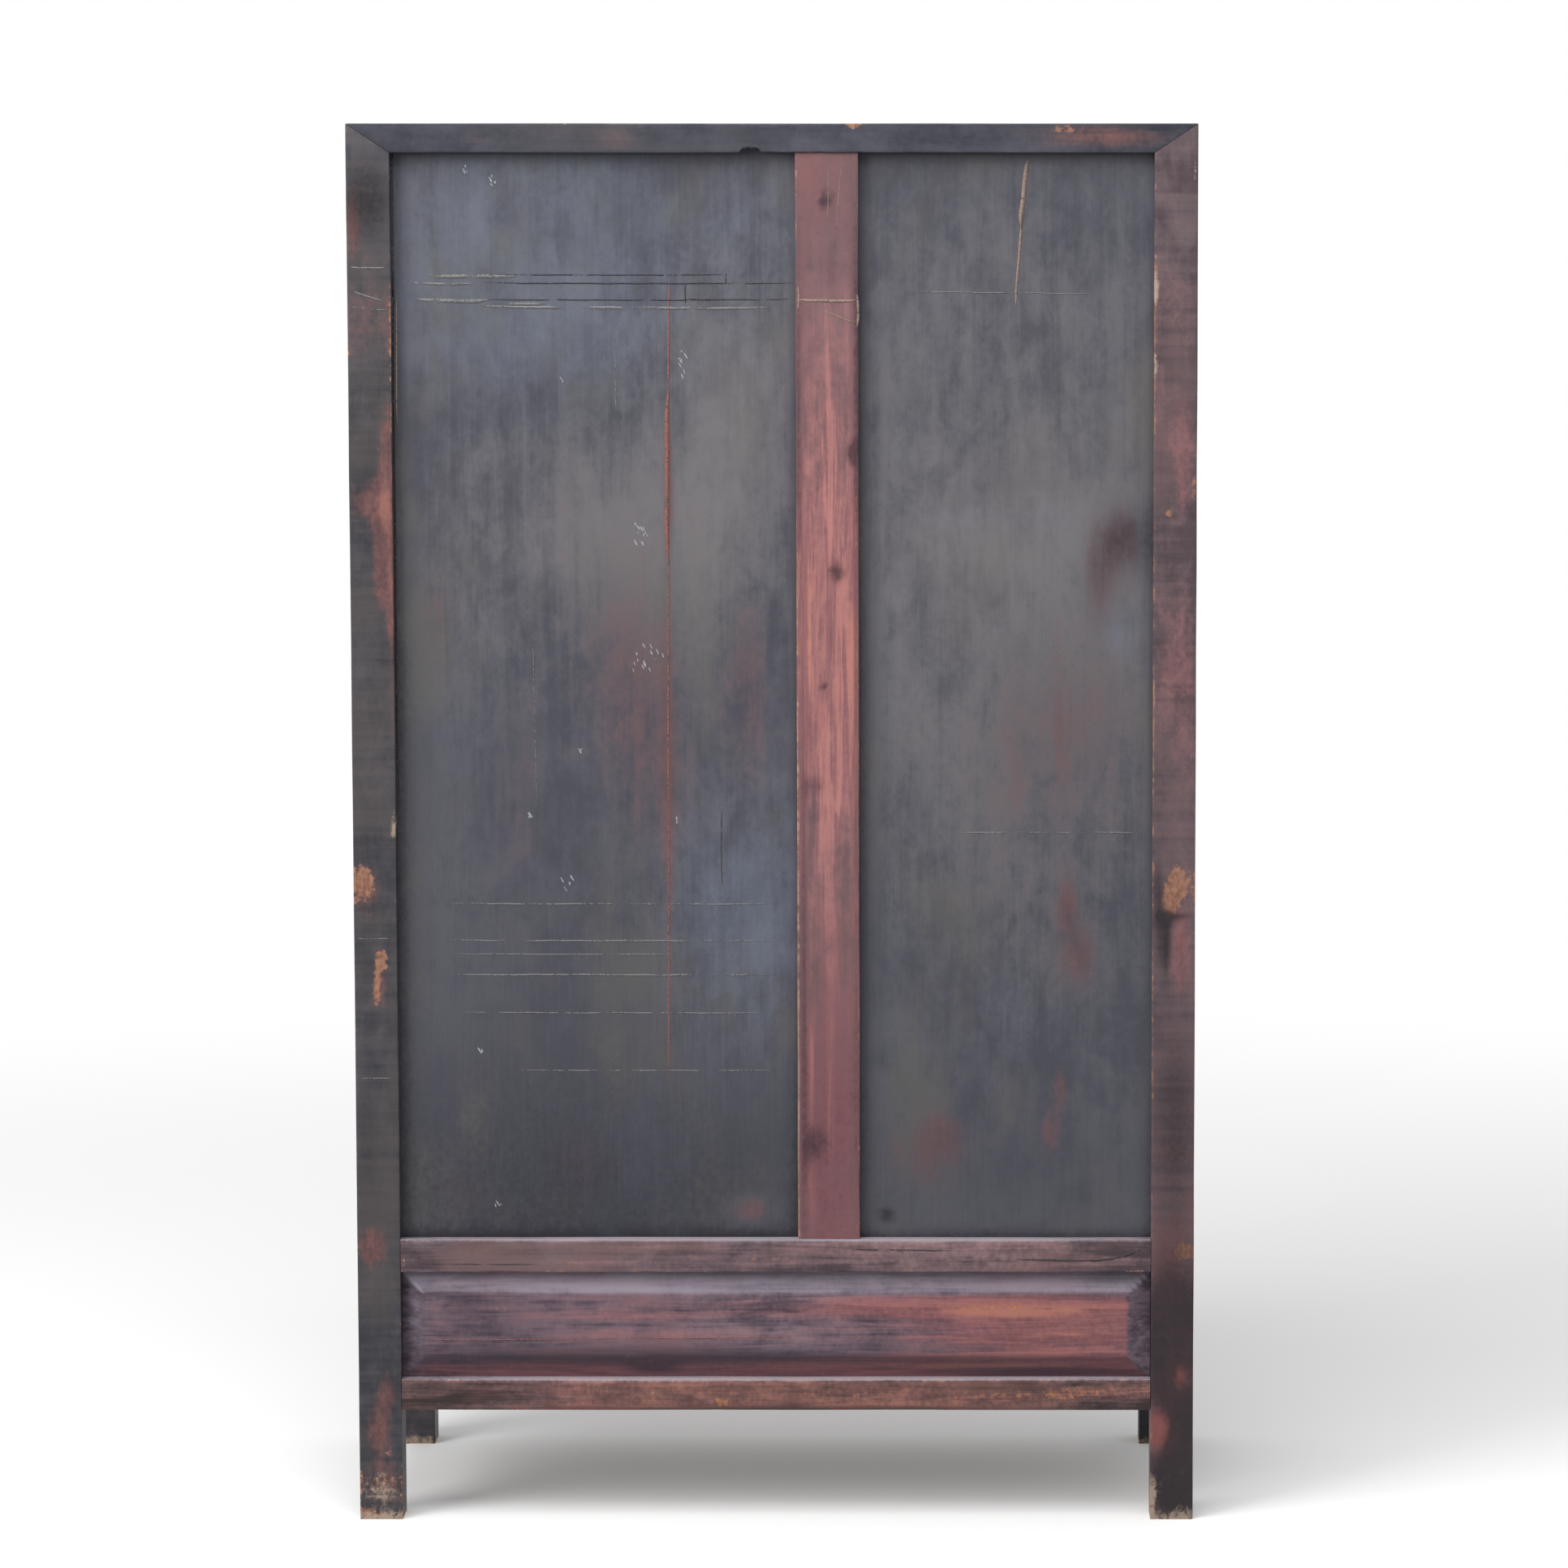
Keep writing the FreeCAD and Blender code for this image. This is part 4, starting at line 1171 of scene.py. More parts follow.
RIPPLES = 5
RIPPLES_ACROSS = (2.0, 9.0)
RIPPLES_UPRIGHT = (1.0, 5.0)
RIPPLES_START = (0.0, 6.3)


def warped(seed: int, depth: float) -> Relief:
    """A thin panel that has cupped and rippled with age.

    Args:
        seed: Chooses the ripples.
        depth: The deepest hollow.

    Returns:
        The relief.
    """
    rng = np.random.default_rng(seed)
    limits = (RIPPLES_ACROSS, RIPPLES_UPRIGHT, RIPPLES_START)
    waves = [[rng.uniform(*limit) for limit in limits] for _ in range(RIPPLES)]

    def relief(u: np.ndarray, v: np.ndarray) -> np.ndarray:
        """Depth below the face."""
        total = sum(np.sin(across * u + upright * v + start) for across, upright, start in waves)
        return depth * (0.5 + total / (2 * len(waves)))

    return relief


RIDGE_WIDTH = 0.002
RIDGE_DEPTH = 0.0004


def fielded(width: float, height: float, bevel: float, rise: float, hollow: float) -> Relief:
    """A raised field with sloping borders and worn ridges.

    Args:
        width: The face's width.
        height: The face's height.
        bevel: The width of the sloping border.
        rise: How far the field stands above the border's outer edge.
        hollow: How far the border is hollowed.

    Returns:
        The relief.
    """

    def relief(u: np.ndarray, v: np.ndarray) -> np.ndarray:
        """Depth below the field.

        Args:
            u: Distances from the lower end of the face's first axis.
            v: Distances from the lower end of its other axis.

        Returns:
            The depths.
        """
        inside = rim_distance(u, v, width, height)
        share = np.clip(inside / bevel, 0.0, 1.0)
        ridge = np.exp(-((inside - bevel) / RIDGE_WIDTH) ** 2) * RIDGE_DEPTH
        return rise * (1.0 - share) + hollow * np.sin(np.pi * share) + ridge

    return relief


# Pieces


def settle(item: bpy.types.Object) -> None:
    """Turns an object's modifiers into a plain mesh.

    Args:
        item: The object.
    """
    graph = bpy.context.evaluated_depsgraph_get()
    mesh = bpy.data.meshes.new_from_object(item.evaluated_get(graph), depsgraph=graph)
    item.modifiers.clear()
    item.data = mesh


def set_wear_and_shading(mesh: bpy.types.Mesh, given: dict[Wear, np.ndarray], patches: Sequence[Patch]) -> None:
    """Stores the wear, painted highlights and painted shade of a mesh in its attributes.

    Args:
        mesh: The mesh.
        given: The wear, painted highlight and painted shade of each vertex that comes from its shape.
        patches: The places where the wear, painted highlight or painted shade is stronger.
    """
    count = len(mesh.vertices)
    points = np.empty(count * 3)
    mesh.vertices.foreach_get("co", points)
    points = points.reshape(-1, 3)
    totals = {wear: given.get(wear, np.zeros(count)) for wear in Wear}
    for patch in patches:
        totals[patch.wear] = totals[patch.wear] + patch.amount(points)
    for wear, total in totals.items():
        attribute = mesh.attributes.new(wear.value, "FLOAT", "POINT")
        attribute.data.foreach_set("value", total.astype(np.float32))


GRAIN_SHIFT = 9.0


def set_board(mesh: bpy.types.Mesh, seed: int) -> None:
    """Gives a piece its own stretch of grain, as if cut from a board of its own.

    Args:
        mesh: The piece's mesh.
        seed: Chooses the stretch.
    """
    shift = np.random.default_rng(seed).uniform(-GRAIN_SHIFT, GRAIN_SHIFT, 3)
    attribute = mesh.attributes.new(BOARD, "FLOAT_VECTOR", "POINT")
    attribute.data.foreach_set("vector", np.tile(shift, len(mesh.vertices)).astype(np.float32))


@dataclass
class Piece:
    """A finished piece and what it stands for."""

    name: str
    slot: Slot
    material: bpy.types.Material
    body: str = CARCASS
    stands_for: Sequence[str] = ()
    sharp_angle: float = 38.0

    def from_shape(self, shape: Union[WornBar, Board], patches: Sequence[Patch] = ()) -> bpy.types.Object:
        """Makes the piece from one shape and its wear.

        Args:
            shape: The shape.
            patches: Places with more wear.

        Returns:
            The object.
        """
        mesh = self.write(shape.mesh())
        points = np.array([vertex.co for vertex in mesh.vertices])
        set_wear_and_shading(mesh, {Wear.EDGE: shape.edge(points)}, patches)
        return self.place(mesh)

    def write(self, source: bmesh.types.BMesh) -> bpy.types.Mesh:
        """Turns a working mesh into a smooth-shaded one with sharp arrises.

        Args:
            source: The working mesh, which is freed.

        Returns:
            The mesh.
        """
        mesh = bpy.data.meshes.new(self.name)
        source.to_mesh(mesh)
        source.free()
        mesh.shade_smooth()
        mesh.set_sharp_from_angle(angle=math.radians(self.sharp_angle))
        return mesh

    def place(self, mesh: bpy.types.Mesh) -> bpy.types.Object:
        """Puts the mesh in the scene as this piece.

        Args:
            mesh: The finished mesh, in place.

        Returns:
            The object.
        """
        mesh.materials.clear()
        mesh.materials.append(self.material)
        item = bpy.data.objects.new(self.name, mesh)
        bpy.context.scene.collection.objects.link(item)
        self.attach(item)
        return item

    def attach(self, item: bpy.types.Object) -> None:
        """Ties an object to its body and the nodes it stands for.

        Args:
            item: The object.
        """
        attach(item, self.body)
        if self.stands_for:
            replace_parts(item, *self.stands_for)
        log.info("piece %s on %s", self.name, self.body)


SCATTERED = ((Wear.BARE, 0.45), (Wear.RED, 0.7), (Wear.RED, 0.6), (Wear.PALE, 0.35), (Wear.DARK, 0.45))
SCATTERED_REACH = (0.012, 0.07)
SCATTERED_LEAST = 0.008
SCATTERED_SHARE = 0.6
SCATTERED_SPREAD = (0.6, 1.2)


def scattered(box: Box, seed: int, count: int) -> list[Patch]:
    """Small patches of wear for a piece that has no marks of its own.

    Args:
        box: The piece's box.
        seed: Chooses the places.
        count: How many patches there are.

    Returns:
        The patches.
    """
    rng = np.random.default_rng(seed)
    low, size = np.array(box.low), np.array(box.size())
    patches = []
    for number in range(count):
        wear, strength = SCATTERED[number % len(SCATTERED)]
        reach = np.minimum(size * SCATTERED_SHARE, rng.uniform(*SCATTERED_REACH, 3)) + SCATTERED_LEAST
        centre = low + size * rng.random(3)
        strength = strength * rng.uniform(*SCATTERED_SPREAD)
        patches.append(Patch(wear, tuple(centre), tuple(reach), strength))
    return patches


SIDES = {"left": -1, "right": 1}
FACES = {"front": -1, "back": 1}


def name_of(names: dict[str, int], sign: int) -> str:
    """The name of a side or face."""
    return next(name for name, value in names.items() if value == sign)


@dataclass
class MitredFrame:
    """Posts and rails, with three-way mitres at the top corners."""

    joint: float = 0.00025
    notch_middle: float = 0.027
    notch_half: float = 0.0135
    notch_rise: float = 0.006
    notch_pitch: float = 0.0045
    sole_reach: float = 0.06
    post_patches: int = 24
    top_patches: int = 14
    rail_patches: int = 16
    middle_patches: int = 10
    seed: int = 100

    def build(self) -> None:
        """Makes the posts, the top rails and the rails below them."""
        for number, (face, sign_y) in enumerate(FACES.items()):
            for side, sign_x in SIDES.items():
                self.post(f"post_{face}_{side}", sign_x, sign_y, self.seed + 40 * number + 80 * (sign_x + 1))
        for face, sign_y in FACES.items():
            self.top_rail(f"top_rail_{face}", Axis.X, sign_y)
            self.rail(f"waist_rail_{face}", Axis.X, WARM_RAIL_COAT)
            self.rail(f"bottom_rail_{face}", Axis.X, BROWN_RAIL_COAT)
        for side, sign_x in SIDES.items():
            self.top_rail(f"top_rail_{side}", Axis.Y, sign_x)
            for level in ("waist", "bottom"):
                self.rail(f"{level}_rail_{side}", Axis.Y, SIDE_RAIL_COAT)
        self.middle_rails()

    def corner(self, sign_x: int, sign_y: int) -> tuple[Vector, Vector]:
        """The inner and outer points of a top corner.

        Args:
            sign_x: The side.
            sign_y: The face.

        Returns:
            The inner point at the underside of the top rails, and the outer point at their top.
        """
        face = name_of(FACES, sign_y)
        post = node_box(f"post_{face}_{name_of(SIDES, sign_x)}")
        under = node_box(f"top_rail_{face}").low.z
        inner_x, outer_x = (post.low.x, post.high.x)[::sign_x]
        inner_y, outer_y = (post.low.y, post.high.y)[::sign_y]
        return Vector((inner_x, inner_y, under)), Vector((outer_x, outer_y, post.high.z))

    def mitres(self, sign_x: int, sign_y: int) -> tuple[Vector, dict[str, Vector]]:
        """The planes of a three-way mitre.

        Args:
            sign_x: The side.
            sign_y: The face.

        Returns:
            A point on all the planes, and the planes' directions: up from the post to the rail along X or Y,
            and from the rail along X to the rail along Y.
        """
        inner, outer = self.corner(sign_x, sign_y)
        width, depth, height = (abs(part) for part in outer - inner)
        planes = {
            "x": Vector((-sign_x * height, 0.0, width)).normalized(),
            "y": Vector((0.0, -sign_y * height, depth)).normalized(),
            "plan": Vector((sign_x / width, -sign_y / depth, 0.0)).normalized(),
        }
        return outer, planes

    def post(self, node: str, sign_x: int, sign_y: int, seed: int) -> None:
        """Makes one post with its mitred head.

        Args:
            node: The post's node.
            sign_x: Its side.
            sign_y: Its face.
            seed: Chooses its chips.
        """
        box = node_box(node)
        apex, planes = self.mitres(sign_x, sign_y)
        cuts = [(apex - planes[name] * self.joint, planes[name]) for name in ("x", "y")]
        bar = WornBar(box, Axis.Z, seed, open_ends=True, cuts=cuts)
        patches = back_wear_and_shading(node) or scattered(box, seed, self.post_patches) + self.worn_sole(box)
        coat = RUDDY_COAT if node == "post_back_left" else FRAME_COAT
        Piece(f"worn_{node}", Slot.FRAME, coat.material(), stands_for=[node]).from_shape(bar, patches)

    def worn_sole(self, box: Box) -> list[Patch]:
        """Bare and dusty wood at the sole of a foot, with a dusty line under a dirty one above it.

        Args:
            box: The post's box.

        Returns:
            The patches.
        """
        places = [(Wear.BARE, 0.0, 0.014, 0.7), (Wear.PALE, 0.0, 0.012, 1.3)]
        places += [(Wear.PALE, 0.055, 0.008, 0.9), (Wear.DARK, 0.078, 0.012, 1.0)]
        x, y = box.middle().x, box.middle().y
        wide = self.sole_reach
        return [Patch(wear, (x, y, z), (wide, wide, high), amount) for wear, z, high, amount in places]

    def top_rail(self, node: str, axis: Axis, sign: int) -> None:
        """Makes one rail of the top frame.

        Args:
            node: The rail's node.
            axis: Its direction.
            sign: Which of the two rails it is.
        """
        box = node_box(node)
        cuts = []
        for end in (-1, 1):
            sign_x, sign_y = (end, sign) if axis is Axis.X else (sign, end)
            apex, planes = self.mitres(sign_x, sign_y)
            up = planes["x" if axis is Axis.X else "y"]
            aside = planes["plan"] * (1 if axis is Axis.X else -1)
            cuts += [(apex + up * self.joint, -up), (apex - aside * self.joint, aside)]
        seed = self.seed + len(node)
        notched = node == "top_rail_back"
        bar = WornBar(box, axis, seed, pitch=self.notch_pitch if notched else WornBar.pitch, cuts=cuts)
        coat = RAIL_COAT if axis is Axis.X else SIDE_RAIL_COAT
        piece = Piece(f"worn_{node}", Slot.FRAME, coat.material(), stands_for=[node])
        item = piece.from_shape(bar, back_wear_and_shading(node) or scattered(box, seed, self.top_patches))
        if notched:
            self.wear_notch(item.data, box)

    def wear_notch(self, mesh: bpy.types.Mesh, box: Box) -> None:
        """Hollows the finger notch in the underside of the back top rail.

        Args:
            mesh: The rail's mesh.
            box: The rail's box.
        """
        for vertex in mesh.vertices:
            aside = (vertex.co.x - self.notch_middle) / self.notch_half
            if abs(aside) < 1.0 and vertex.co.z < box.low.z + self.notch_rise * 0.5:
                vertex.co.z += self.notch_rise * math.sqrt(1.0 - aside * aside)

    def clear_box(self, box: Box, axis: Axis) -> Box:
        """A rail's box between its posts, without the tenons.

        Args:
            box: The rail's whole box.
            axis: Its direction.

        Returns:
            The shorter box.
        """
        low, high = (self.corner(sign, sign)[0][axis.value] for sign in (-1, 1))
        return box.between(axis, low + self.joint, high - self.joint)

    def rail(self, node: str, axis: Axis, coat: Lacquer) -> None:
        """Makes one rail between two posts.

        Args:
            node: The rail's node.
            axis: Its direction.
            coat: Its finish.
        """
        box = self.clear_box(node_box(node), axis)
        seed = self.seed + 7 * len(node) + axis.value
        patches = back_wear_and_shading(node) or scattered(box, seed, self.rail_patches)
        piece = Piece(f"worn_{node}", Slot.FRAME, coat.material(), stands_for=[node])
        piece.from_shape(WornBar(box, axis, seed), patches)

    def middle_rails(self) -> None:
        """Makes the rails between the side panels as one piece for each rail."""
        for number, solid in enumerate(solids("side_rails")):
            box = self.clear_box(solid, Axis.Y)
            seed = self.seed + 300 + number
            stands_for = ["side_rails"] if number == 0 else []
            coat = SIDE_RAIL_COAT.material()
            piece = Piece(f"worn_side_rail_{number + 1}", Slot.FRAME, coat, stands_for=stands_for)
            piece.from_shape(WornBar(box, Axis.Y, seed), scattered(box, seed, self.middle_patches))


@dataclass
class Panelling:
    """Floating panels, the mullion between the back panels, and the raised aprons."""

    warp: float = 0.0011
    bevel: float = 0.028
    hollow: float = 0.0010
    # How far in and how strong the dirt and painted shade along each panel edge are.
    grime_and_shade_reach: float = 0.016
    grime_and_shade: float = 0.55
    dust_and_sheen: float = 0.35
    dust_reach: Triple = (0.6, 0.3, 0.1)
    mullion_chip: float = 0.0032
    bevel_lines: tuple[float, ...] = (0.002, 0.008, 0.014, 0.020)
    ridge_half: float = 0.003
    ridge_blur: float = 0.004
    apron_pitch: float = 0.005
    apron_sharp: float = 50.0
    side_patches: int = 14
    top_patches: int = 20
    apron_patches: int = 16
    joint: float = 0.00025
    seed: int = 700

    def build(self) -> None:
        """Makes the panels, the mullion and the aprons."""
        for number, node in enumerate(BACK_PANELS):
            self.panel(node, node_box(node), Axis.Y, 1, back_wear_and_shading(node), self.seed + number, [node])
        for side, sign in SIDES.items():
            node = f"side_panels_{side}"
            for number, box in enumerate(solids(node)):
                seed = self.seed + 20 * (sign + 2) + number
                stands_for = [node] if number == 0 else []
                patches = scattered(box, seed, self.side_patches)
                self.panel(f"side_panel_{side}_{number + 1}", box, Axis.X, sign, patches, seed, stands_for)
        self.top()
        self.mullion()
        self.apron("back_apron_panel", node_box("back_apron_panel"), Axis.Y, 1, ["back_apron_panel"])
        for number, box in enumerate(solids("side_apron_panels")):
            sign = -1 if box.low.x < 0 else 1
            stands_for = ["side_apron_panels"] if number == 0 else []
            self.apron(f"side_apron_{name_of(SIDES, sign)}", box, Axis.X, sign, stands_for)

    def panel(
        self,
        name: str,
        box: Box,
        facing: Axis,
        outward: int,
        patches: Sequence[Patch],
        seed: int,
        stands_for: Sequence[str],
    ) -> None:
        """Makes one floating panel.

        Args:
            name: The piece's name.
            box: Its box.
            facing: The axis that it faces.
            outward: Which way it faces.
            patches: Its wear.
            seed: Chooses its ripples.
            stands_for: The nodes that it stands for.
        """
        board = Board(box, facing, outward, warped(seed, self.warp))
        piece = Piece(f"worn_{name}", Slot.PANEL, PANEL_COAT.material(), stands_for=stands_for)
        # Painted shade and dirt darken the panel along its edges, where it meets the frame.
        piece.from_shape(board, [*patches, *self.border(box, facing)])

    def border(self, box: Box, facing: Axis) -> list[Patch]:
        """Dirt and painted shade along the edges of a panel, where it meets the frame.

        Args:
            box: The panel's box.
            facing: The axis that it faces.

        Returns:
            One long patch for each edge.
        """
        patches = []
        for axis in Axis:
            if axis is facing:
                continue
            for end in (box.low, box.high):
                centre, reach = box.middle(), Vector((1.0, 1.0, 1.0))
                centre[axis.value] = end[axis.value]
                reach[axis.value] = self.grime_and_shade_reach
                patches.append(Patch(Wear.DARK, tuple(centre), tuple(reach), self.grime_and_shade))
        return patches

    def top(self) -> None:
        """Makes the floating top, dusty all over."""
        box = node_box("top_panel")
        board = Board(box, Axis.Z, 1, warped(self.seed + 90, self.warp))
        dust_and_sheen = Patch(Wear.PALE, tuple(box.middle()), self.dust_reach, self.dust_and_sheen)
        piece = Piece("worn_top_panel", Slot.PANEL, TOP_COAT.material(), stands_for=["top_panel"])
        piece.from_shape(board, [dust_and_sheen, *scattered(box, self.seed + 91, self.top_patches)])

    def mullion(self) -> None:
        """Makes the broad upright batten between the back panels."""
        node = "back_mullion"
        low = node_box("waist_rail_back").high.z + self.joint
        high = node_box("top_rail_back").low.z - self.joint
        box = node_box(node).between(Axis.Z, low, high)
        bar = WornBar(box, Axis.Z, self.seed + 5, chip=self.mullion_chip)
        piece = Piece(f"worn_{node}", Slot.RED, MULLION_COAT.material(), stands_for=[node])
        piece.from_shape(bar, back_wear_and_shading(node))

    def apron(self, name: str, box: Box, facing: Axis, outward: int, stands_for: Sequence[str]) -> None:
        """Makes one raised apron, trimmed to the opening that it fills.

        Args:
            name: The piece's name.
            box: Its box, with the edges that are hidden in grooves.
            facing: The axis that it faces.
            outward: Which way it faces.
            stands_for: The nodes that it stands for.
        """
        across = Axis.X if facing is Axis.Y else Axis.Y
        middle = 0.0 if across is Axis.X else box.middle().y
        half = node_box("post_back_right").low[across.value] - middle
        box = box.between(across, middle - half + self.joint, middle + half - self.joint)
        low = node_box("bottom_rail_back").high.z + self.joint
        high = node_box("waist_rail_back").low.z - self.joint
        box = box.between(Axis.Z, low, high)
        size = box.size()
        rise = size[facing.value] - node_box("back_panel_wide").size().y
        relief = fielded(size[across.value], size.z, self.bevel, rise, self.hollow)
        ridge_lines = (self.bevel - self.ridge_half, self.bevel, self.bevel + self.ridge_half)
        margins = (*self.bevel_lines, *ridge_lines)
        board = Board(box, facing, outward, relief, self.apron_pitch, margins)
        coat = APRON_COAT if facing is Axis.Y else SIDE_APRON_COAT
        piece = Piece(f"worn_{name}", Slot.RED, coat.material(), CARCASS, stands_for, self.apron_sharp)
        mesh = piece.write(board.mesh())
        points = np.array([vertex.co for vertex in mesh.vertices])
        inside = np.minimum(points - np.array(box.low), np.array(box.high) - points)
        inside[:, facing.value] = 1.0
        patches = back_wear_and_shading(name) or scattered(box, self.seed + 50 + outward, self.apron_patches)
        worn = self.apron_wear_and_shading(inside.min(axis=1), box.high.z - points[:, 2], inside[:, across.value])
        set_wear_and_shading(mesh, worn, patches)
        piece.place(mesh)

    def apron_wear_and_shading(self, depth: np.ndarray, below: np.ndarray, aside: np.ndarray) -> dict[Wear, np.ndarray]:
        """A rubbed field, an upper bevel lightened by dusting and a painted highlight, and side and lower
        bevels darkened by painted shade.

        Args:
            depth: Each vertex's distance from the nearest edge.
            below: Its distance below the upper edge.
            aside: Its distance from the nearer side edge.

        Returns:
            The wear, painted highlight and painted shade of each vertex.
        """
        field_share = np.clip((depth - self.bevel) / self.ridge_blur + 0.5, 0.0, 1.0)
        bevel_share = 1.0 - field_share
        upper = bevel_share * (below <= depth + SAME_PLACE)
        side = bevel_share * (aside <= depth + SAME_PLACE)
        lower = np.clip(bevel_share - upper - side, 0.0, 1.0)
        ridge_share = np.clip(1.0 - np.abs(depth - self.bevel) / self.ridge_half, 0.0, 1.0)
        # Pale on the upper bevel is dusting and a painted highlight; dark on the side and lower bevels is
        # painted shade.
        return {
            Wear.EDGE: ridge_share * 0.2,
            Wear.RED: field_share * 0.12 - upper * 0.30 - side * 0.55 + lower * 0.55,
            Wear.PALE: upper * 0.66 + side * 0.26,
            Wear.DARK: side * 0.34 + lower * 0.46,
        }


@dataclass
class Crate:
    """Boards that carry the drawers, left as the frame has them and dressed in bare wood."""

    wood: dict[str, BareWood] = field(
        default_factory=lambda: {
            "crate_uprights": CRATE_WOOD,
            "crate_shelves": CRATE_WOOD,
            "lower_uprights": CRATE_WOOD,
            "dust_boards": BOARD_WOOD,
            "top_battens": BOARD_WOOD,
        }
    )

    def build(self) -> None:
        """Dresses the boards."""
        for node, wood in self.wood.items():
            item = frame["nodes"][node]
            item.data.materials.clear()
            item.data.materials.append(wood.material())
            log.info("node %s in %s", node, wood.name)


class NodeTool:
    """A geometry node tree with named inputs, built once and used on many objects."""

    def __init__(self, name: str, inputs: dict[str, str]) -> None:
        """Starts the tree.

        Args:
            name: The tree's name.
            inputs: The socket type of each named input.
        """
        self.tree = bpy.data.node_groups.new(name, "GeometryNodeTree")
        face = self.tree.interface
        face.new_socket("Geometry", in_out="OUTPUT", socket_type="NodeSocketGeometry")
        face.new_socket("Geometry", in_out="INPUT", socket_type="NodeSocketGeometry")
        self.sockets = {}
        for label, kind in inputs.items():
            self.sockets[label] = face.new_socket(label, in_out="INPUT", socket_type=kind).identifier
        self.graph = Graph(self.tree)
        self.entry = self.tree.nodes.new("NodeGroupInput")

    def given(self, label: str) -> Value:
        """A named input."""
        return Value(self.graph, self.entry.outputs[label])

    def finish(self, geometry: Value) -> None:
        """Ends the tree in real geometry with its material.

        Args:
            geometry: What the tree has made.
        """
        real = self.graph.node("GeometryNodeRealizeInstances", inputs={"Geometry": geometry})
        finish = {"Geometry": real, "Material": self.given("Material")}
        dressed = self.graph.node("GeometryNodeSetMaterial", inputs=finish)
        leave = self.tree.nodes.new("NodeGroupOutput")
        self.tree.links.new(dressed.socket, leave.inputs["Geometry"])

    def apply(
        self,
        mesh: bpy.types.Mesh,
        name: str,
        values: dict[str, Any],
        bevel: float = 0.0,
    ) -> bpy.types.Mesh:
        """Runs the tree on a mesh.

        Args:
            mesh: The mesh that goes in.
            name: The name of the result.
            values: The named inputs.
            bevel: How far the result's edges are eased.

        Returns:
            The plain mesh that comes out.
        """
        item = bpy.data.objects.new(f"{name}_work", mesh)
        bpy.context.scene.collection.objects.link(item)
        modifier = item.modifiers.new(name, "NODES")
        modifier.node_group = self.tree
        for label, given in values.items():
            modifier[self.sockets[label]] = given
        if bevel:
            easing = item.modifiers.new("ease", "BEVEL")
            easing.width = bevel
            easing.segments = 2
        settle(item)
        result = item.data
        result.name = name
        bpy.data.objects.remove(item)
        return result


def point_mesh(
    name: str,
    points: Sequence[Sequence[float]],
    edges: Sequence[tuple[int, int]],
) -> bpy.types.Mesh:
    """A mesh of points and edges alone.

    Args:
        name: The mesh's name.
        points: The points.
        edges: The two points that each edge joins, by their place in the list.

    Returns:
        The mesh.
    """
    mesh = bpy.data.meshes.new(name)
    mesh.from_pydata([tuple(point) for point in points], edges, [])
    return mesh


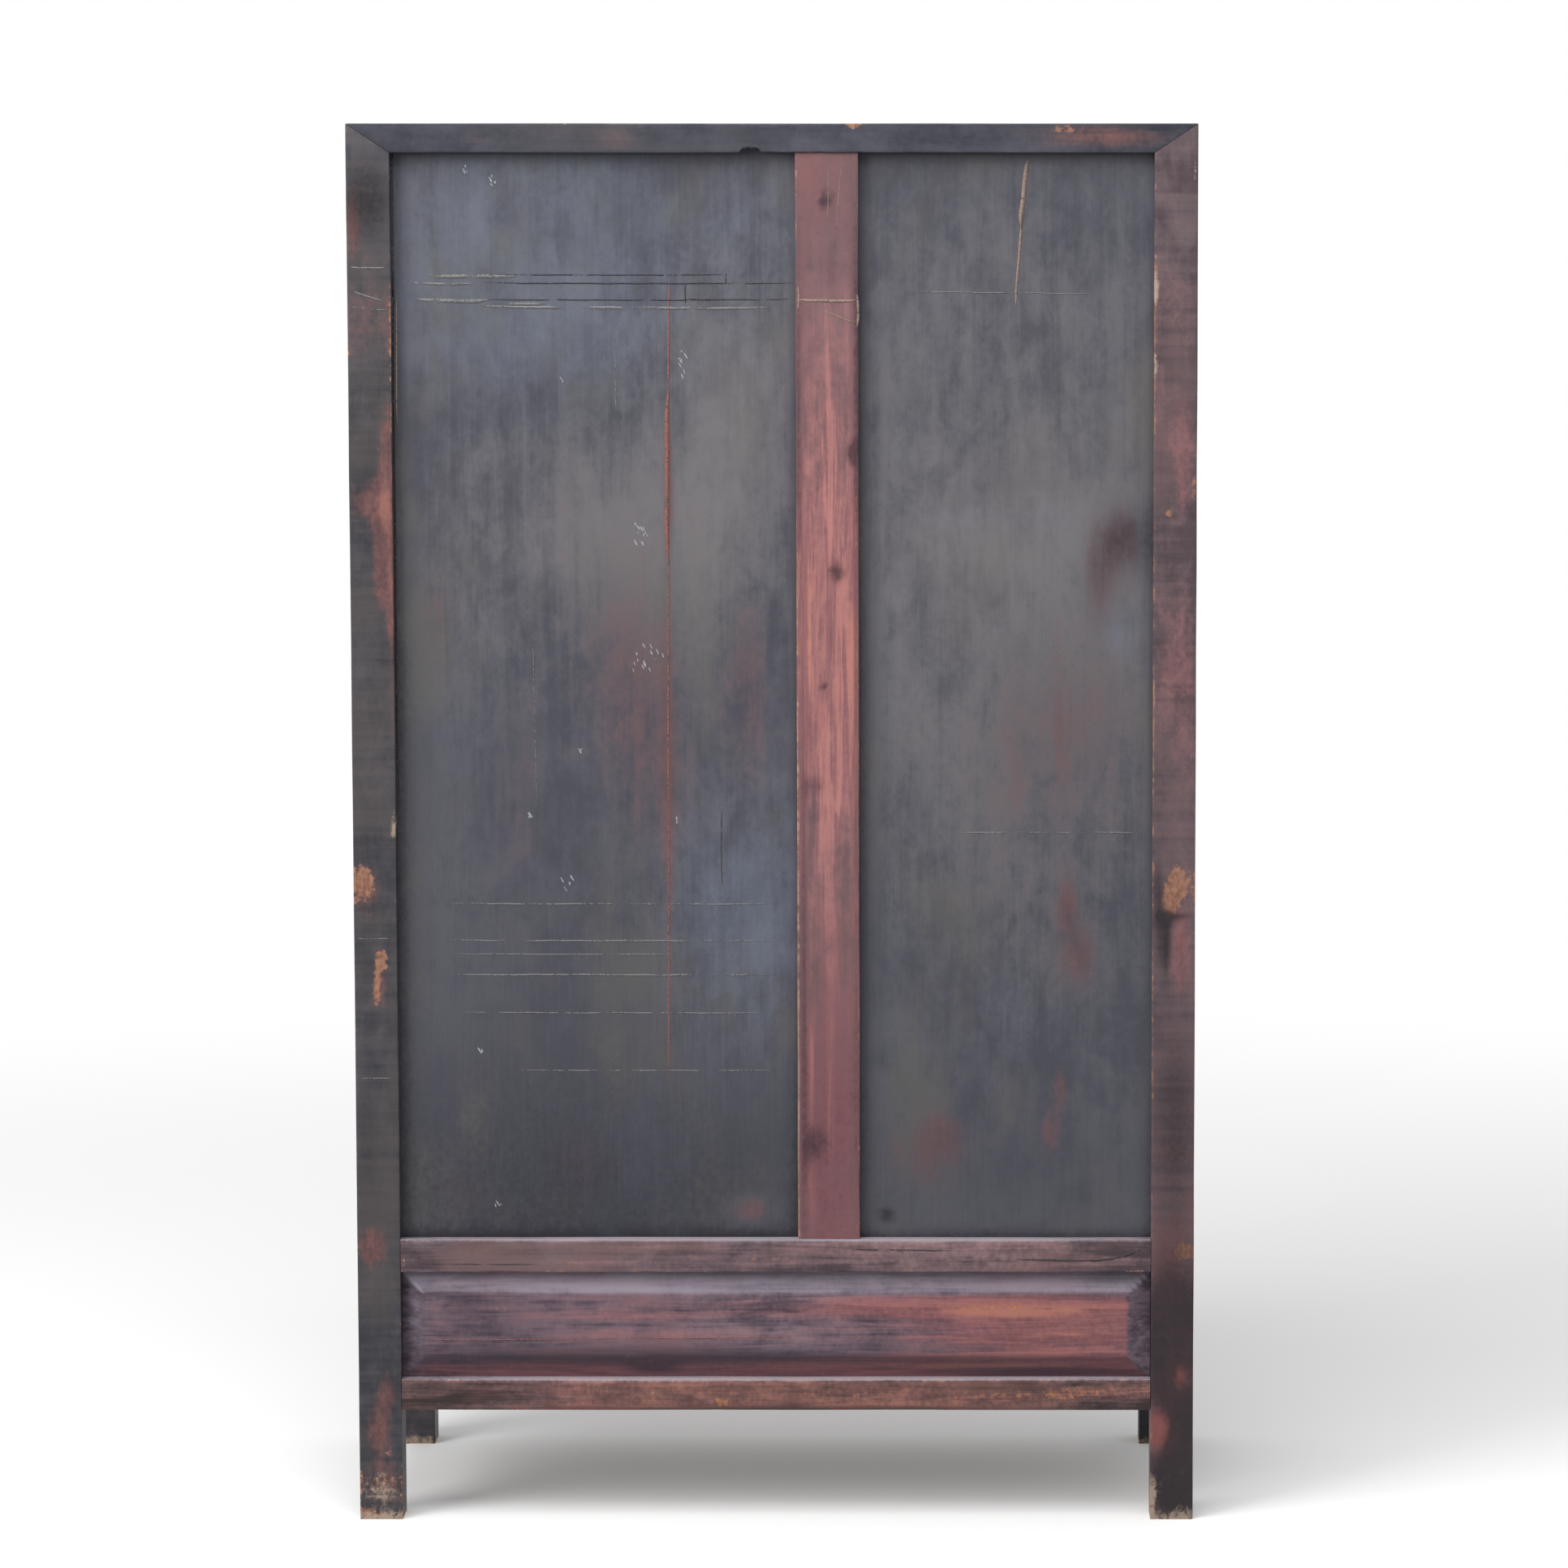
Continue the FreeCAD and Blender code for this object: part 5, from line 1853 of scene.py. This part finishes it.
@dataclass
class Knobs:
    """Eight-sided brass knobs on rosettes, swept along their axes."""

    sides: int = 8
    rosette: float = 0.032
    rosette_thickness: float = 0.002
    neck: float = 0.009
    neck_length: float = 0.008
    head: float = 0.022
    flare: float = 0.004
    rim: float = 0.0015
    crown: float = 0.012
    rise: float = 0.0045
    ease: float = 0.0004
    shoulder: float = 0.00002
    rubbed_from: float = 0.010
    rubbed_over: float = 0.006

    def __post_init__(self) -> None:
        """Builds the node tree that sweeps an outline along the axis."""
        inputs = {"Sides": "NodeSocketInt", "Turn": "NodeSocketFloat", "Material": "NodeSocketMaterial"}
        self.tool = NodeTool("swept_knob", inputs)
        graph = self.tool.graph
        axis = graph.node("GeometryNodeMeshToCurve", inputs={0: self.tool.given("Geometry")})
        reach = graph.node("GeometryNodeInputNamedAttribute", {"data_type": "FLOAT"}, {"Name": "reach"})
        outline = graph.node(
            "GeometryNodeCurvePrimitiveCircle",
            {"mode": "RADIUS"},
            {"Resolution": self.tool.given("Sides"), "Radius": 1.0},
        )
        turn = graph.node("ShaderNodeCombineXYZ", inputs={"Z": self.tool.given("Turn")})
        outline = graph.node("GeometryNodeTransform", inputs={"Geometry": outline, "Rotation": turn})
        swept = graph.node(
            "GeometryNodeCurveToMesh",
            inputs={"Curve": axis, "Profile Curve": outline, "Scale": reach, "Fill Caps": True},
        )
        flat = {"Geometry": swept, "Shade Smooth": False}
        self.tool.finish(graph.node("GeometryNodeSetShadeSmooth", inputs=flat))
        self.material = Brass().material()

    def profile(self) -> list[tuple[float, float]]:
        """The knob's outline.

        Returns:
            Distances in front of the drawer, each with the width across the flats there.
        """
        plate = self.rosette_thickness
        under = plate + self.neck_length
        rim = under + self.flare
        return [
            (0.0, self.rosette),
            (plate * 0.6, self.rosette),
            (plate, self.rosette * 0.9),
            (plate + self.shoulder, self.neck * 1.25),
            (plate + self.neck_length * 0.3, self.neck),
            (under, self.neck),
            (rim, self.head),
            (rim + self.rim, self.head),
            (rim + self.rim + self.rise, self.crown),
        ]

    def build(self, drawer: str, middle: Vector) -> None:
        """Makes the knob of one drawer.

        Args:
            drawer: The drawer's body.
            middle: The middle of the drawer's front face.
        """
        corner = 0.5 / math.cos(math.pi / self.sides)
        profile = self.profile()
        points = [(middle.x, middle.y - reach, middle.z) for reach, _ in profile]
        line = point_mesh("knob_axis", points, [(place, place + 1) for place in range(len(points) - 1)])
        reach = line.attributes.new("reach", "FLOAT", "POINT")
        reach.data.foreach_set("value", [width * corner for _, width in profile])
        values = {"Sides": self.sides, "Turn": math.pi / self.sides, "Material": self.material}
        mesh = self.tool.apply(line, f"knob_{drawer}", values, self.ease)
        proud = np.array([middle.y - vertex.co.y for vertex in mesh.vertices])
        rubbed = np.clip((proud - self.rubbed_from) / self.rubbed_over, 0.0, 1.0)
        set_wear_and_shading(mesh, {Wear.EDGE: rubbed}, [])
        Piece(f"knob_{drawer}", Slot.BRASS, self.material, drawer).place(mesh)


@dataclass
class Drawers:
    """The drawers: lacquered fronts, bare boxes and brass knobs."""

    ease: float = 0.0016
    hand_reach: float = 0.045
    painted_depth: float = 0.010
    lap: float = 0.00015
    face_pitch: float = 0.0075
    wear_depth: float = 0.03
    dust_height: float = 0.003
    scatter_depth: float = 0.002
    patches: int = 8
    seed: int = 2000

    def build(self) -> None:
        """Makes every drawer of the frame."""
        knobs = Knobs()
        drawers = [body for body in frame["bodies"] if body != CARCASS]
        for number, drawer in enumerate(sorted(drawers)):
            seed = self.seed + 10 * number
            knob, front, *boards = sorted(solids(drawer), key=lambda box: box.low.y)
            painted, inner = self.split(front)
            sides = [box for box in boards if self.is_side(box)]
            across = [box for box in boards if not self.is_side(box)]
            self.front(drawer, painted, seed)
            self.case(f"sides_{drawer}", drawer, sides, DRAWER_WOOD, seed + 1)
            self.case(f"across_{drawer}", drawer, [inner, *across], DRAWER_WOOD_ACROSS, seed + 2)
            knobs.build(drawer, Vector((knob.middle().x, front.low.y, knob.middle().z)))

    def is_side(self, board: Box) -> bool:
        """Whether a board stands at a side of its drawer."""
        return board.size().x < min(board.size().y, board.size().z)

    def split(self, front: Box) -> tuple[Box, Box]:
        """Parts a drawer's front into its painted face and its bare inner half, both lapped over the sides.

        Args:
            front: The front's box.

        Returns:
            The boxes of the painted face and of the inner half.
        """
        lapped = front.between(Axis.X, front.low.x + self.lap, front.high.x - self.lap)
        lapped = lapped.between(Axis.Z, front.low.z + self.lap, front.high.z)
        behind = front.low.y + self.painted_depth
        return lapped.between(Axis.Y, front.low.y, behind), lapped.between(Axis.Y, behind, front.high.y)

    def front(self, drawer: str, box: Box, seed: int) -> None:
        """Makes a drawer's front, rubbed round its knob.

        Args:
            drawer: The drawer's body.
            box: The front's box.
            seed: Chooses its wear.
        """
        size, middle = box.size(), box.middle()
        board = Board(box, Axis.Y, -1, eased(size.x, size.z, self.ease), self.face_pitch)
        face = (middle.x, box.low.y, middle.z)
        deep = self.wear_depth
        outer = box.between(Axis.Y, box.low.y, box.low.y + self.scatter_depth)
        rng = np.random.default_rng(seed)
        reach = self.hand_reach * rng.uniform(0.8, 1.2)
        patches = [
            Patch(Wear.BARE, face, (reach, deep, reach * 0.8), 0.30 * rng.uniform(0.5, 1.3)),
            Patch(Wear.RED, face, (reach * 2.0, deep, reach * 1.6), 0.40),
            Patch(Wear.PALE, (middle.x, box.low.y, box.high.z), (size.x, deep, self.dust_height), 0.4),
            *scattered(outer, seed, self.patches),
        ]
        piece = Piece(f"front_{drawer}", Slot.DRAWER, DRAWER_COAT.material(), drawer, [drawer])
        set_board(piece.from_shape(board, patches).data, seed)

    def case(self, name: str, drawer: str, boxes: Sequence[Box], wood: BareWood, seed: int) -> None:
        """Makes bare boards of a drawer as one piece.

        Args:
            name: The piece's name.
            drawer: The drawer's body.
            boxes: The boards' boxes.
            wood: Their wood.
            seed: Chooses their grain.
        """
        whole = bmesh.new()
        for box in boxes:
            part = Plank(box).mesh()
            mesh = bpy.data.meshes.new("part")
            part.to_mesh(mesh)
            part.free()
            whole.from_mesh(mesh)
            bpy.data.meshes.remove(mesh)
        piece = Piece(name, Slot.WOOD, wood.material(), drawer)
        set_board(piece.place(piece.write(whole)).data, seed)


@dataclass(frozen=True)
class MarkGroup:
    """Straight marks of one finish on the back, thinning out at both ends.

    Each row: where a mark starts across the cabinet and above the floor, where it ends, and its width, in
    millimetres.
    """

    name: str
    carriers: Sequence[str]
    finish: Mark
    slot: Slot
    rows: Sequence[Row]


MARK_GROUPS = [
    MarkGroup("scratches_pale", BACK_PANELS, PALE_SCRATCH, Slot.PANEL, [
        (430, 1564.6, 310, 1564, 4.6), (445, 1554.6, 370, 1554, 3), (440, 1534.6, 350, 1534, 5),
        (365, 1526.2, 0, 1524, 3.6), (330, 1530, 280, 1529.6, 3.4), (410, 781, 0, 780.5, 1.8),
        (412, 734.9, -8, 734.5, 2), (400, 717.5, 120, 717.2, 1.4), (410, 691.9, 0, 691.5, 2.2),
        (395, 643.7, 10, 643, 1.6), (330, 570.7, -5, 570, 1.5), (300, 1120, 296, 900, 1),
        (195, 1500, 194, 1390, 1.2), (66, 920, 64, 770, 1), (-225.5, 870.9, -456, 870.6, 2.2),
        (-150, 1544, -400, 1541, 1.2), (-322, 1128, -388, 1064, 1), (-240, 1070, -300, 980, 0.8),
    ]),
    MarkGroup("scratches_warm", BACK_PANELS, WARM_SCRATCH, Slot.PANEL, [
        (127.5, 1556, 128.5, 1415, 2.4), (128.5, 1425, 130, 1205, 5.6), (130, 1215, 131.5, 900, 2.2),
        (131, 930, 133, 555, 1.8),
    ]),
    MarkGroup("scratches_tan", BACK_PANELS, TAN_SCRATCH, Slot.PANEL, [
        (-317, 1708, -308, 1620, 5.6), (-309.5, 1635, -301, 1525, 3), (465, 1540, 466, 1380, 2),
    ]),
    MarkGroup("scratches_mullion", ["back_mullion"], TAN_SCRATCH, Slot.RED, [
        (-30, 1534.5, -104, 1533.5, 3.4), (-64, 1520, -103, 1505, 1.6), (-31, 1520, -31, 1550, 3),
        (-104, 1500, -104, 1540, 3), (-70, 1700, -69, 1630, 0.9), (-86, 1700, -79, 1620, 0.9),
    ]),
    MarkGroup("cracks_dark", BACK_PANELS, DARK_CRACK, Slot.PANEL, [
        (340, 1564.8, 56, 1564.5, 1.6), (360, 1554.6, -26, 1554, 1.8), (355, 1534, 60, 1533.5, 1.6),
        (110, 1534.5, -20, 1534, 1.4), (57.3, 1566, 57.3, 1553, 1.4), (108, 1554, 108, 1529, 1.4),
        (468.5, 1713, 468, 1530, 6), (469, 1580, 468.5, 900, 2.4), (66, 900, 65.5, 800, 1.2),
    ]),
    MarkGroup("cracks_apron", ["back_apron_panel"], WARM_SCRATCH, Slot.RED, [
        (440, 229, 200, 230.2, 1.2), (190, 231, -20, 232.5, 1.2),
    ]),
    MarkGroup("cracks_rail", ["waist_rail_back"], DARK_CRACK, Slot.FRAME, [
        (-300, 333, -400, 331.5, 1.6), (-390, 331.5, -430, 335, 2.2), (-425, 334.5, -466, 348, 2.4),
        (-90, 346, -220, 344, 1.4), (450, 327, 300, 326.2, 1.2),
    ]),
    MarkGroup("scratches_post", ["post_back_right"], PALE_SCRATCH, Slot.FRAME, [
        (521, 1574, 476, 1573.8, 2.2), (516, 1544, 480, 1533, 2), (520, 1525, 474, 1521.5, 1.6),
        (520, 563, 480, 563, 1.4), (520, 739, 480, 739, 1.4),
    ]),
]
# Each row: the middle of a group of flecks, half its width and height in millimetres, and their number.
FLECKS: list[tuple[float, float, float, float, int]] = [
    (345.2, 1686, 3, 12, 5), (378, 1694, 6, 4, 3), (112, 1452, 4, 18, 8), (165, 1246, 7, 16, 12),
    (156, 1086, 20, 24, 16), (262, 1434, 2, 3, 2), (262, 806, 10, 8, 5), (125, 885, 3, 3, 2),
    (242, 974, 2, 3, 2), (307, 891, 3, 2, 3), (369, 592, 2, 4, 2), (350, 400, 6, 2, 3),
]


@dataclass
class Marks:
    """Scratches, cracks and flecks that lie on the back panels, the apron and a post."""

    lift: float = 0.00025
    depth: float = 0.0007
    wobble: float = 0.0011
    step: float = 0.004
    fewest_steps: int = 6
    taper: float = 6.0
    taper_power: float = 0.6
    swirl: float = 38.0
    fleck: float = 0.0021
    fleck_sides: int = 7
    seed: int = 31

    def build(self) -> None:
        """Makes one piece for each group of marks, and one of flecks."""
        for group in MARK_GROUPS:
            self.ribbons(group)
        self.flecks()

    def level(self, carriers: Sequence[bpy.types.Object], x: float, z: float) -> float:
        """How far towards the back a mark lies, just proud of its carrier and inside the cabinet's box."""
        return min(surface_level(carriers, x, z) + self.lift, BACK_FACE)

    def ribbons(self, group: MarkGroup) -> None:
        """Makes thin ribbons along a group's marks, laid on the pieces that carry them.

        Args:
            group: The marks.
        """
        tool = self.ribbon_tool(f"{group.name}_ribbons")
        carriers = [frame_piece(node) for node in group.carriers]
        points, edges, across = [], [], []
        for row in group.rows:
            *ends, width = (size / MM_PER_METRE for size in row)
            start, end = np.array(ends[:2]), np.array(ends[2:])
            length = float(np.linalg.norm(end - start))
            count = max(self.fewest_steps, round(length / self.step))
            side = np.array([-(end - start)[1], (end - start)[0]]) / length
            for place in range(count + 1):
                share = place / count
                x, z = start + (end - start) * share
                wide = width * min(1.0, self.taper * share, self.taper * (1.0 - share)) ** self.taper_power
                if place:
                    edges.append((len(points) - 1, len(points)))
                points.append((x, self.level(carriers, x, z), z))
                across.append((side[0] * wide, 0.0, side[1] * wide))
        line = point_mesh(group.name, points, edges)
        attribute = line.attributes.new("across", "FLOAT_VECTOR", "POINT")
        attribute.data.foreach_set("vector", np.array(across, dtype=np.float32).ravel())
        material = group.finish.material()
        values = {"Wobble": self.wobble, "Seed": self.seed, "Material": material}
        mesh = tool.apply(line, group.name, values)
        close_marks(mesh, self.depth)
        Piece(group.name, group.slot, material).place(mesh)

    def ribbon_tool(self, name: str) -> NodeTool:
        """The node tree that widens a wobbling line into a ribbon.

        Args:
            name: The tree's name.

        Returns:
            The tool.
        """
        inputs = {"Wobble": "NodeSocketFloat", "Seed": "NodeSocketInt", "Material": "NodeSocketMaterial"}
        tool = NodeTool(name, inputs)
        graph = tool.graph
        place = graph.node("GeometryNodeInputPosition")
        swirl = graph.node(
            "ShaderNodeTexNoise",
            {"noise_dimensions": "4D"},
            {"Vector": place, "W": tool.given("Seed"), "Scale": self.swirl, "Detail": 3.0},
            "Color",
        )
        vector = "ShaderNodeVectorMath"
        centred = graph.node(vector, {"operation": "SUBTRACT"}, {0: swirl, 1: (0.5, 0.5, 0.5)})
        flat = graph.node(vector, {"operation": "MULTIPLY"}, {0: centred, 1: (2.0, 0.0, 2.0)})
        sway = graph.node(vector, {"operation": "SCALE"}, {0: flat, "Scale": tool.given("Wobble")})
        moved = {"Geometry": tool.given("Geometry"), "Offset": sway}
        line = graph.node("GeometryNodeSetPosition", inputs=moved)
        named = "GeometryNodeInputNamedAttribute"
        across = graph.node(named, {"data_type": "FLOAT_VECTOR"}, {"Name": "across"})
        wide = {"Mesh": line, "Offset": across, "Offset Scale": 1.0}
        tool.finish(graph.node("GeometryNodeExtrudeMesh", {"mode": "EDGES"}, wide))
        return tool

    def flecks(self) -> None:
        """Makes the white flecks, as small ragged discs strewn round a few places."""
        carriers = [frame_piece(node) for node in BACK_PANELS]
        inputs = {"Size": "NodeSocketFloat", "Seed": "NodeSocketInt", "Material": "NodeSocketMaterial"}
        tool = NodeTool("strewn_flecks", inputs)
        graph = tool.graph
        disc = graph.node(
            "GeometryNodeMeshCircle",
            {"fill_type": "NGON"},
            {"Vertices": self.fleck_sides, "Radius": tool.given("Size")},
        )
        seed = tool.given("Seed")
        sizes = {"Min": (0.22, 0.5, 1.0), "Max": (0.6, 2.3, 1.0), "Seed": seed}
        size = graph.node("FunctionNodeRandomValue", {"data_type": "FLOAT_VECTOR"}, sizes)
        spin = {"Min": (-math.pi / 2, 0.0, 0.0), "Max": (-math.pi / 2, 0.6, 0.0), "Seed": seed}
        turn = graph.node("FunctionNodeRandomValue", {"data_type": "FLOAT_VECTOR"}, spin)
        placed = {"Points": tool.given("Geometry"), "Instance": disc, "Rotation": turn, "Scale": size}
        tool.finish(graph.node("GeometryNodeInstanceOnPoints", inputs=placed))

        rng = np.random.default_rng(self.seed)
        points = []
        for *sizes, count in FLECKS:
            x, z, half_width, half_height = (size / MM_PER_METRE for size in sizes)
            for _ in range(count):
                place_x = x + half_width * rng.uniform(-1, 1)
                place_z = z + half_height * rng.uniform(-1, 1)
                points.append((place_x, self.level(carriers, place_x, place_z), place_z))
        material = WHITE_FLECK.material()
        values = {"Size": self.fleck, "Seed": self.seed, "Material": material}
        mesh = tool.apply(point_mesh("flecks", points, []), "flecks_white", values)
        close_marks(mesh, self.depth)
        Piece("flecks_white", Slot.PANEL, material).place(mesh)


def frame_piece(name: str) -> bpy.types.Object:
    """The finished piece that stands for a node of the same name."""
    found = [item for item in bpy.data.objects if name in item.get("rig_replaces", [])]
    return found[0]


CLEAR_OF_BACK = 0.1


def surface_level(carriers: Sequence[bpy.types.Object], x: float, z: float) -> float:
    """How far towards the back the carriers reach at a place.

    Args:
        carriers: The pieces.
        x: The place across the cabinet.
        z: The place above the floor.

    Returns:
        The level along Y.
    """
    start, ahead = Vector((x, BACK_FACE + CLEAR_OF_BACK, z)), Vector((0.0, -1.0, 0.0))
    for item in carriers:
        hit, place, _, _ = item.ray_cast(start, ahead)
        if hit:
            return place.y
    raise ValueError(f"nothing carries a mark at {x:.3f}, {z:.3f}")


def close_marks(mesh: bpy.types.Mesh, depth: float) -> None:
    """Turns flat marks towards the back of the cabinet and makes thin closed slivers of them.

    Args:
        mesh: The flat marks.
        depth: How deep they go.
    """
    working = bmesh.new()
    working.from_mesh(mesh)
    faces = list(working.faces)
    bmesh.ops.reverse_faces(working, faces=[face for face in faces if face.normal.y < 0.0])
    rim = [edge.link_loops[0] for edge in working.edges if edge.is_boundary]
    rim = [(loop.link_loop_next.vert, loop.vert) for loop in rim]
    below = Vector((0.0, depth, 0.0))
    under = {vertex: working.verts.new(vertex.co - below) for vertex in list(working.verts)}
    for face in faces:
        working.faces.new([under[vertex] for vertex in reversed(face.verts)])
    for first, second in rim:
        working.faces.new((first, second, under[second], under[first]))
    working.to_mesh(mesh)
    working.free()


@dataclass(frozen=True)
class Softbox:
    """A square soft light, where it hangs and what it points at."""

    name: str
    place: Triple
    target: Triple
    size: float
    watts: float

    def hang(self) -> None:
        """Hangs the light."""
        lamp = bpy.data.lights.new(self.name, "AREA")
        lamp.size = self.size
        lamp.energy = self.watts
        item = bpy.data.objects.new(self.name, lamp)
        item.location = self.place
        ahead = Vector(self.target) - Vector(self.place)
        item.rotation_euler = ahead.to_track_quat("-Z", "Y").to_euler()
        bpy.context.scene.collection.objects.link(item)


SOFTBOXES = (
    Softbox("key_softbox", (4.2, 3.8, 3.4), (0.0, 0.2, 0.8), 2.8, 190.0),
    Softbox("top_softbox", (0.4, 2.0, 4.4), (0.0, 0.3, 0.8), 2.4, 104.0),
)


@dataclass
class Studio:
    """The pale floor, the soft light and the camera of the photograph."""

    floor_size: float = 60.0
    camera_x: float = -0.2313
    camera_distance: float = 6.523
    camera_z: float = 1.6423
    pitch_degrees: float = 5.426
    focal_pixels: float = 6496.4
    principal_x: float = 1182.7
    principal_y: float = 877.3
    sensor: float = 36.0
    sky: float = 0.55

    def build(self) -> None:
        """Makes the floor, the lights and the camera."""
        bpy.context.scene.view_settings.view_transform = "Standard"
        self.floor()
        self.world()
        for softbox in SOFTBOXES:
            softbox.hang()
        self.camera()

    def floor(self) -> None:
        """Lays the floor."""
        half = self.floor_size / 2
        mesh = bpy.data.meshes.new("floor")
        corners = [(-half, -half, 0.0), (half, -half, 0.0), (half, half, 0.0), (-half, half, 0.0)]
        mesh.from_pydata(corners, [], [(0, 1, 2, 3)])
        mesh.materials.append(Paper().material())
        item = bpy.data.objects.new("floor", mesh)
        bpy.context.scene.collection.objects.link(item)

    def world(self) -> None:
        """Lights the room evenly, with a white background."""
        world = bpy.data.worlds.new("studio")
        world.use_nodes = True
        bpy.context.scene.world = world
        graph = Graph(world.node_tree)
        graph.tree.nodes.clear()
        white = {"Color": (1.0, 1.0, 1.0, 1.0)}
        light = graph.node("ShaderNodeBackground", inputs={**white, "Strength": self.sky})
        seen = graph.node("ShaderNodeBackground", inputs={**white, "Strength": 1.0})
        mixed = graph.node("ShaderNodeMixShader", inputs={0: direct_view(graph), 1: light, 2: seen})
        output = graph.tree.nodes.new("ShaderNodeOutputWorld")
        graph.tree.links.new(mixed.socket, output.inputs["Surface"])

    def camera(self) -> None:
        """Sets up the camera of the photograph."""
        lens = bpy.data.cameras.new("camera")
        lens.sensor_width = self.sensor
        lens.lens = self.sensor * self.focal_pixels / IMAGE_PIXELS
        lens.shift_x = (IMAGE_PIXELS / 2 - self.principal_x) / IMAGE_PIXELS
        lens.shift_y = (self.principal_y - IMAGE_PIXELS / 2) / IMAGE_PIXELS
        item = bpy.data.objects.new("camera", lens)
        item.location = (self.camera_x, BACK_FACE + self.camera_distance, self.camera_z)
        item.rotation_euler = (math.radians(90.0 - self.pitch_degrees), 0.0, math.pi)
        bpy.context.scene.collection.objects.link(item)
        bpy.context.scene.camera = item


def main() -> None:
    """Builds the cabinet's pieces in order, then the studio."""
    logging.basicConfig(level=logging.INFO, format="%(name)s: %(message)s")
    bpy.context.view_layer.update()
    MitredFrame().build()
    Panelling().build()
    Crate().build()
    Drawers().build()
    Marks().build()
    Studio().build()


if __name__ == "__main__":
    main()
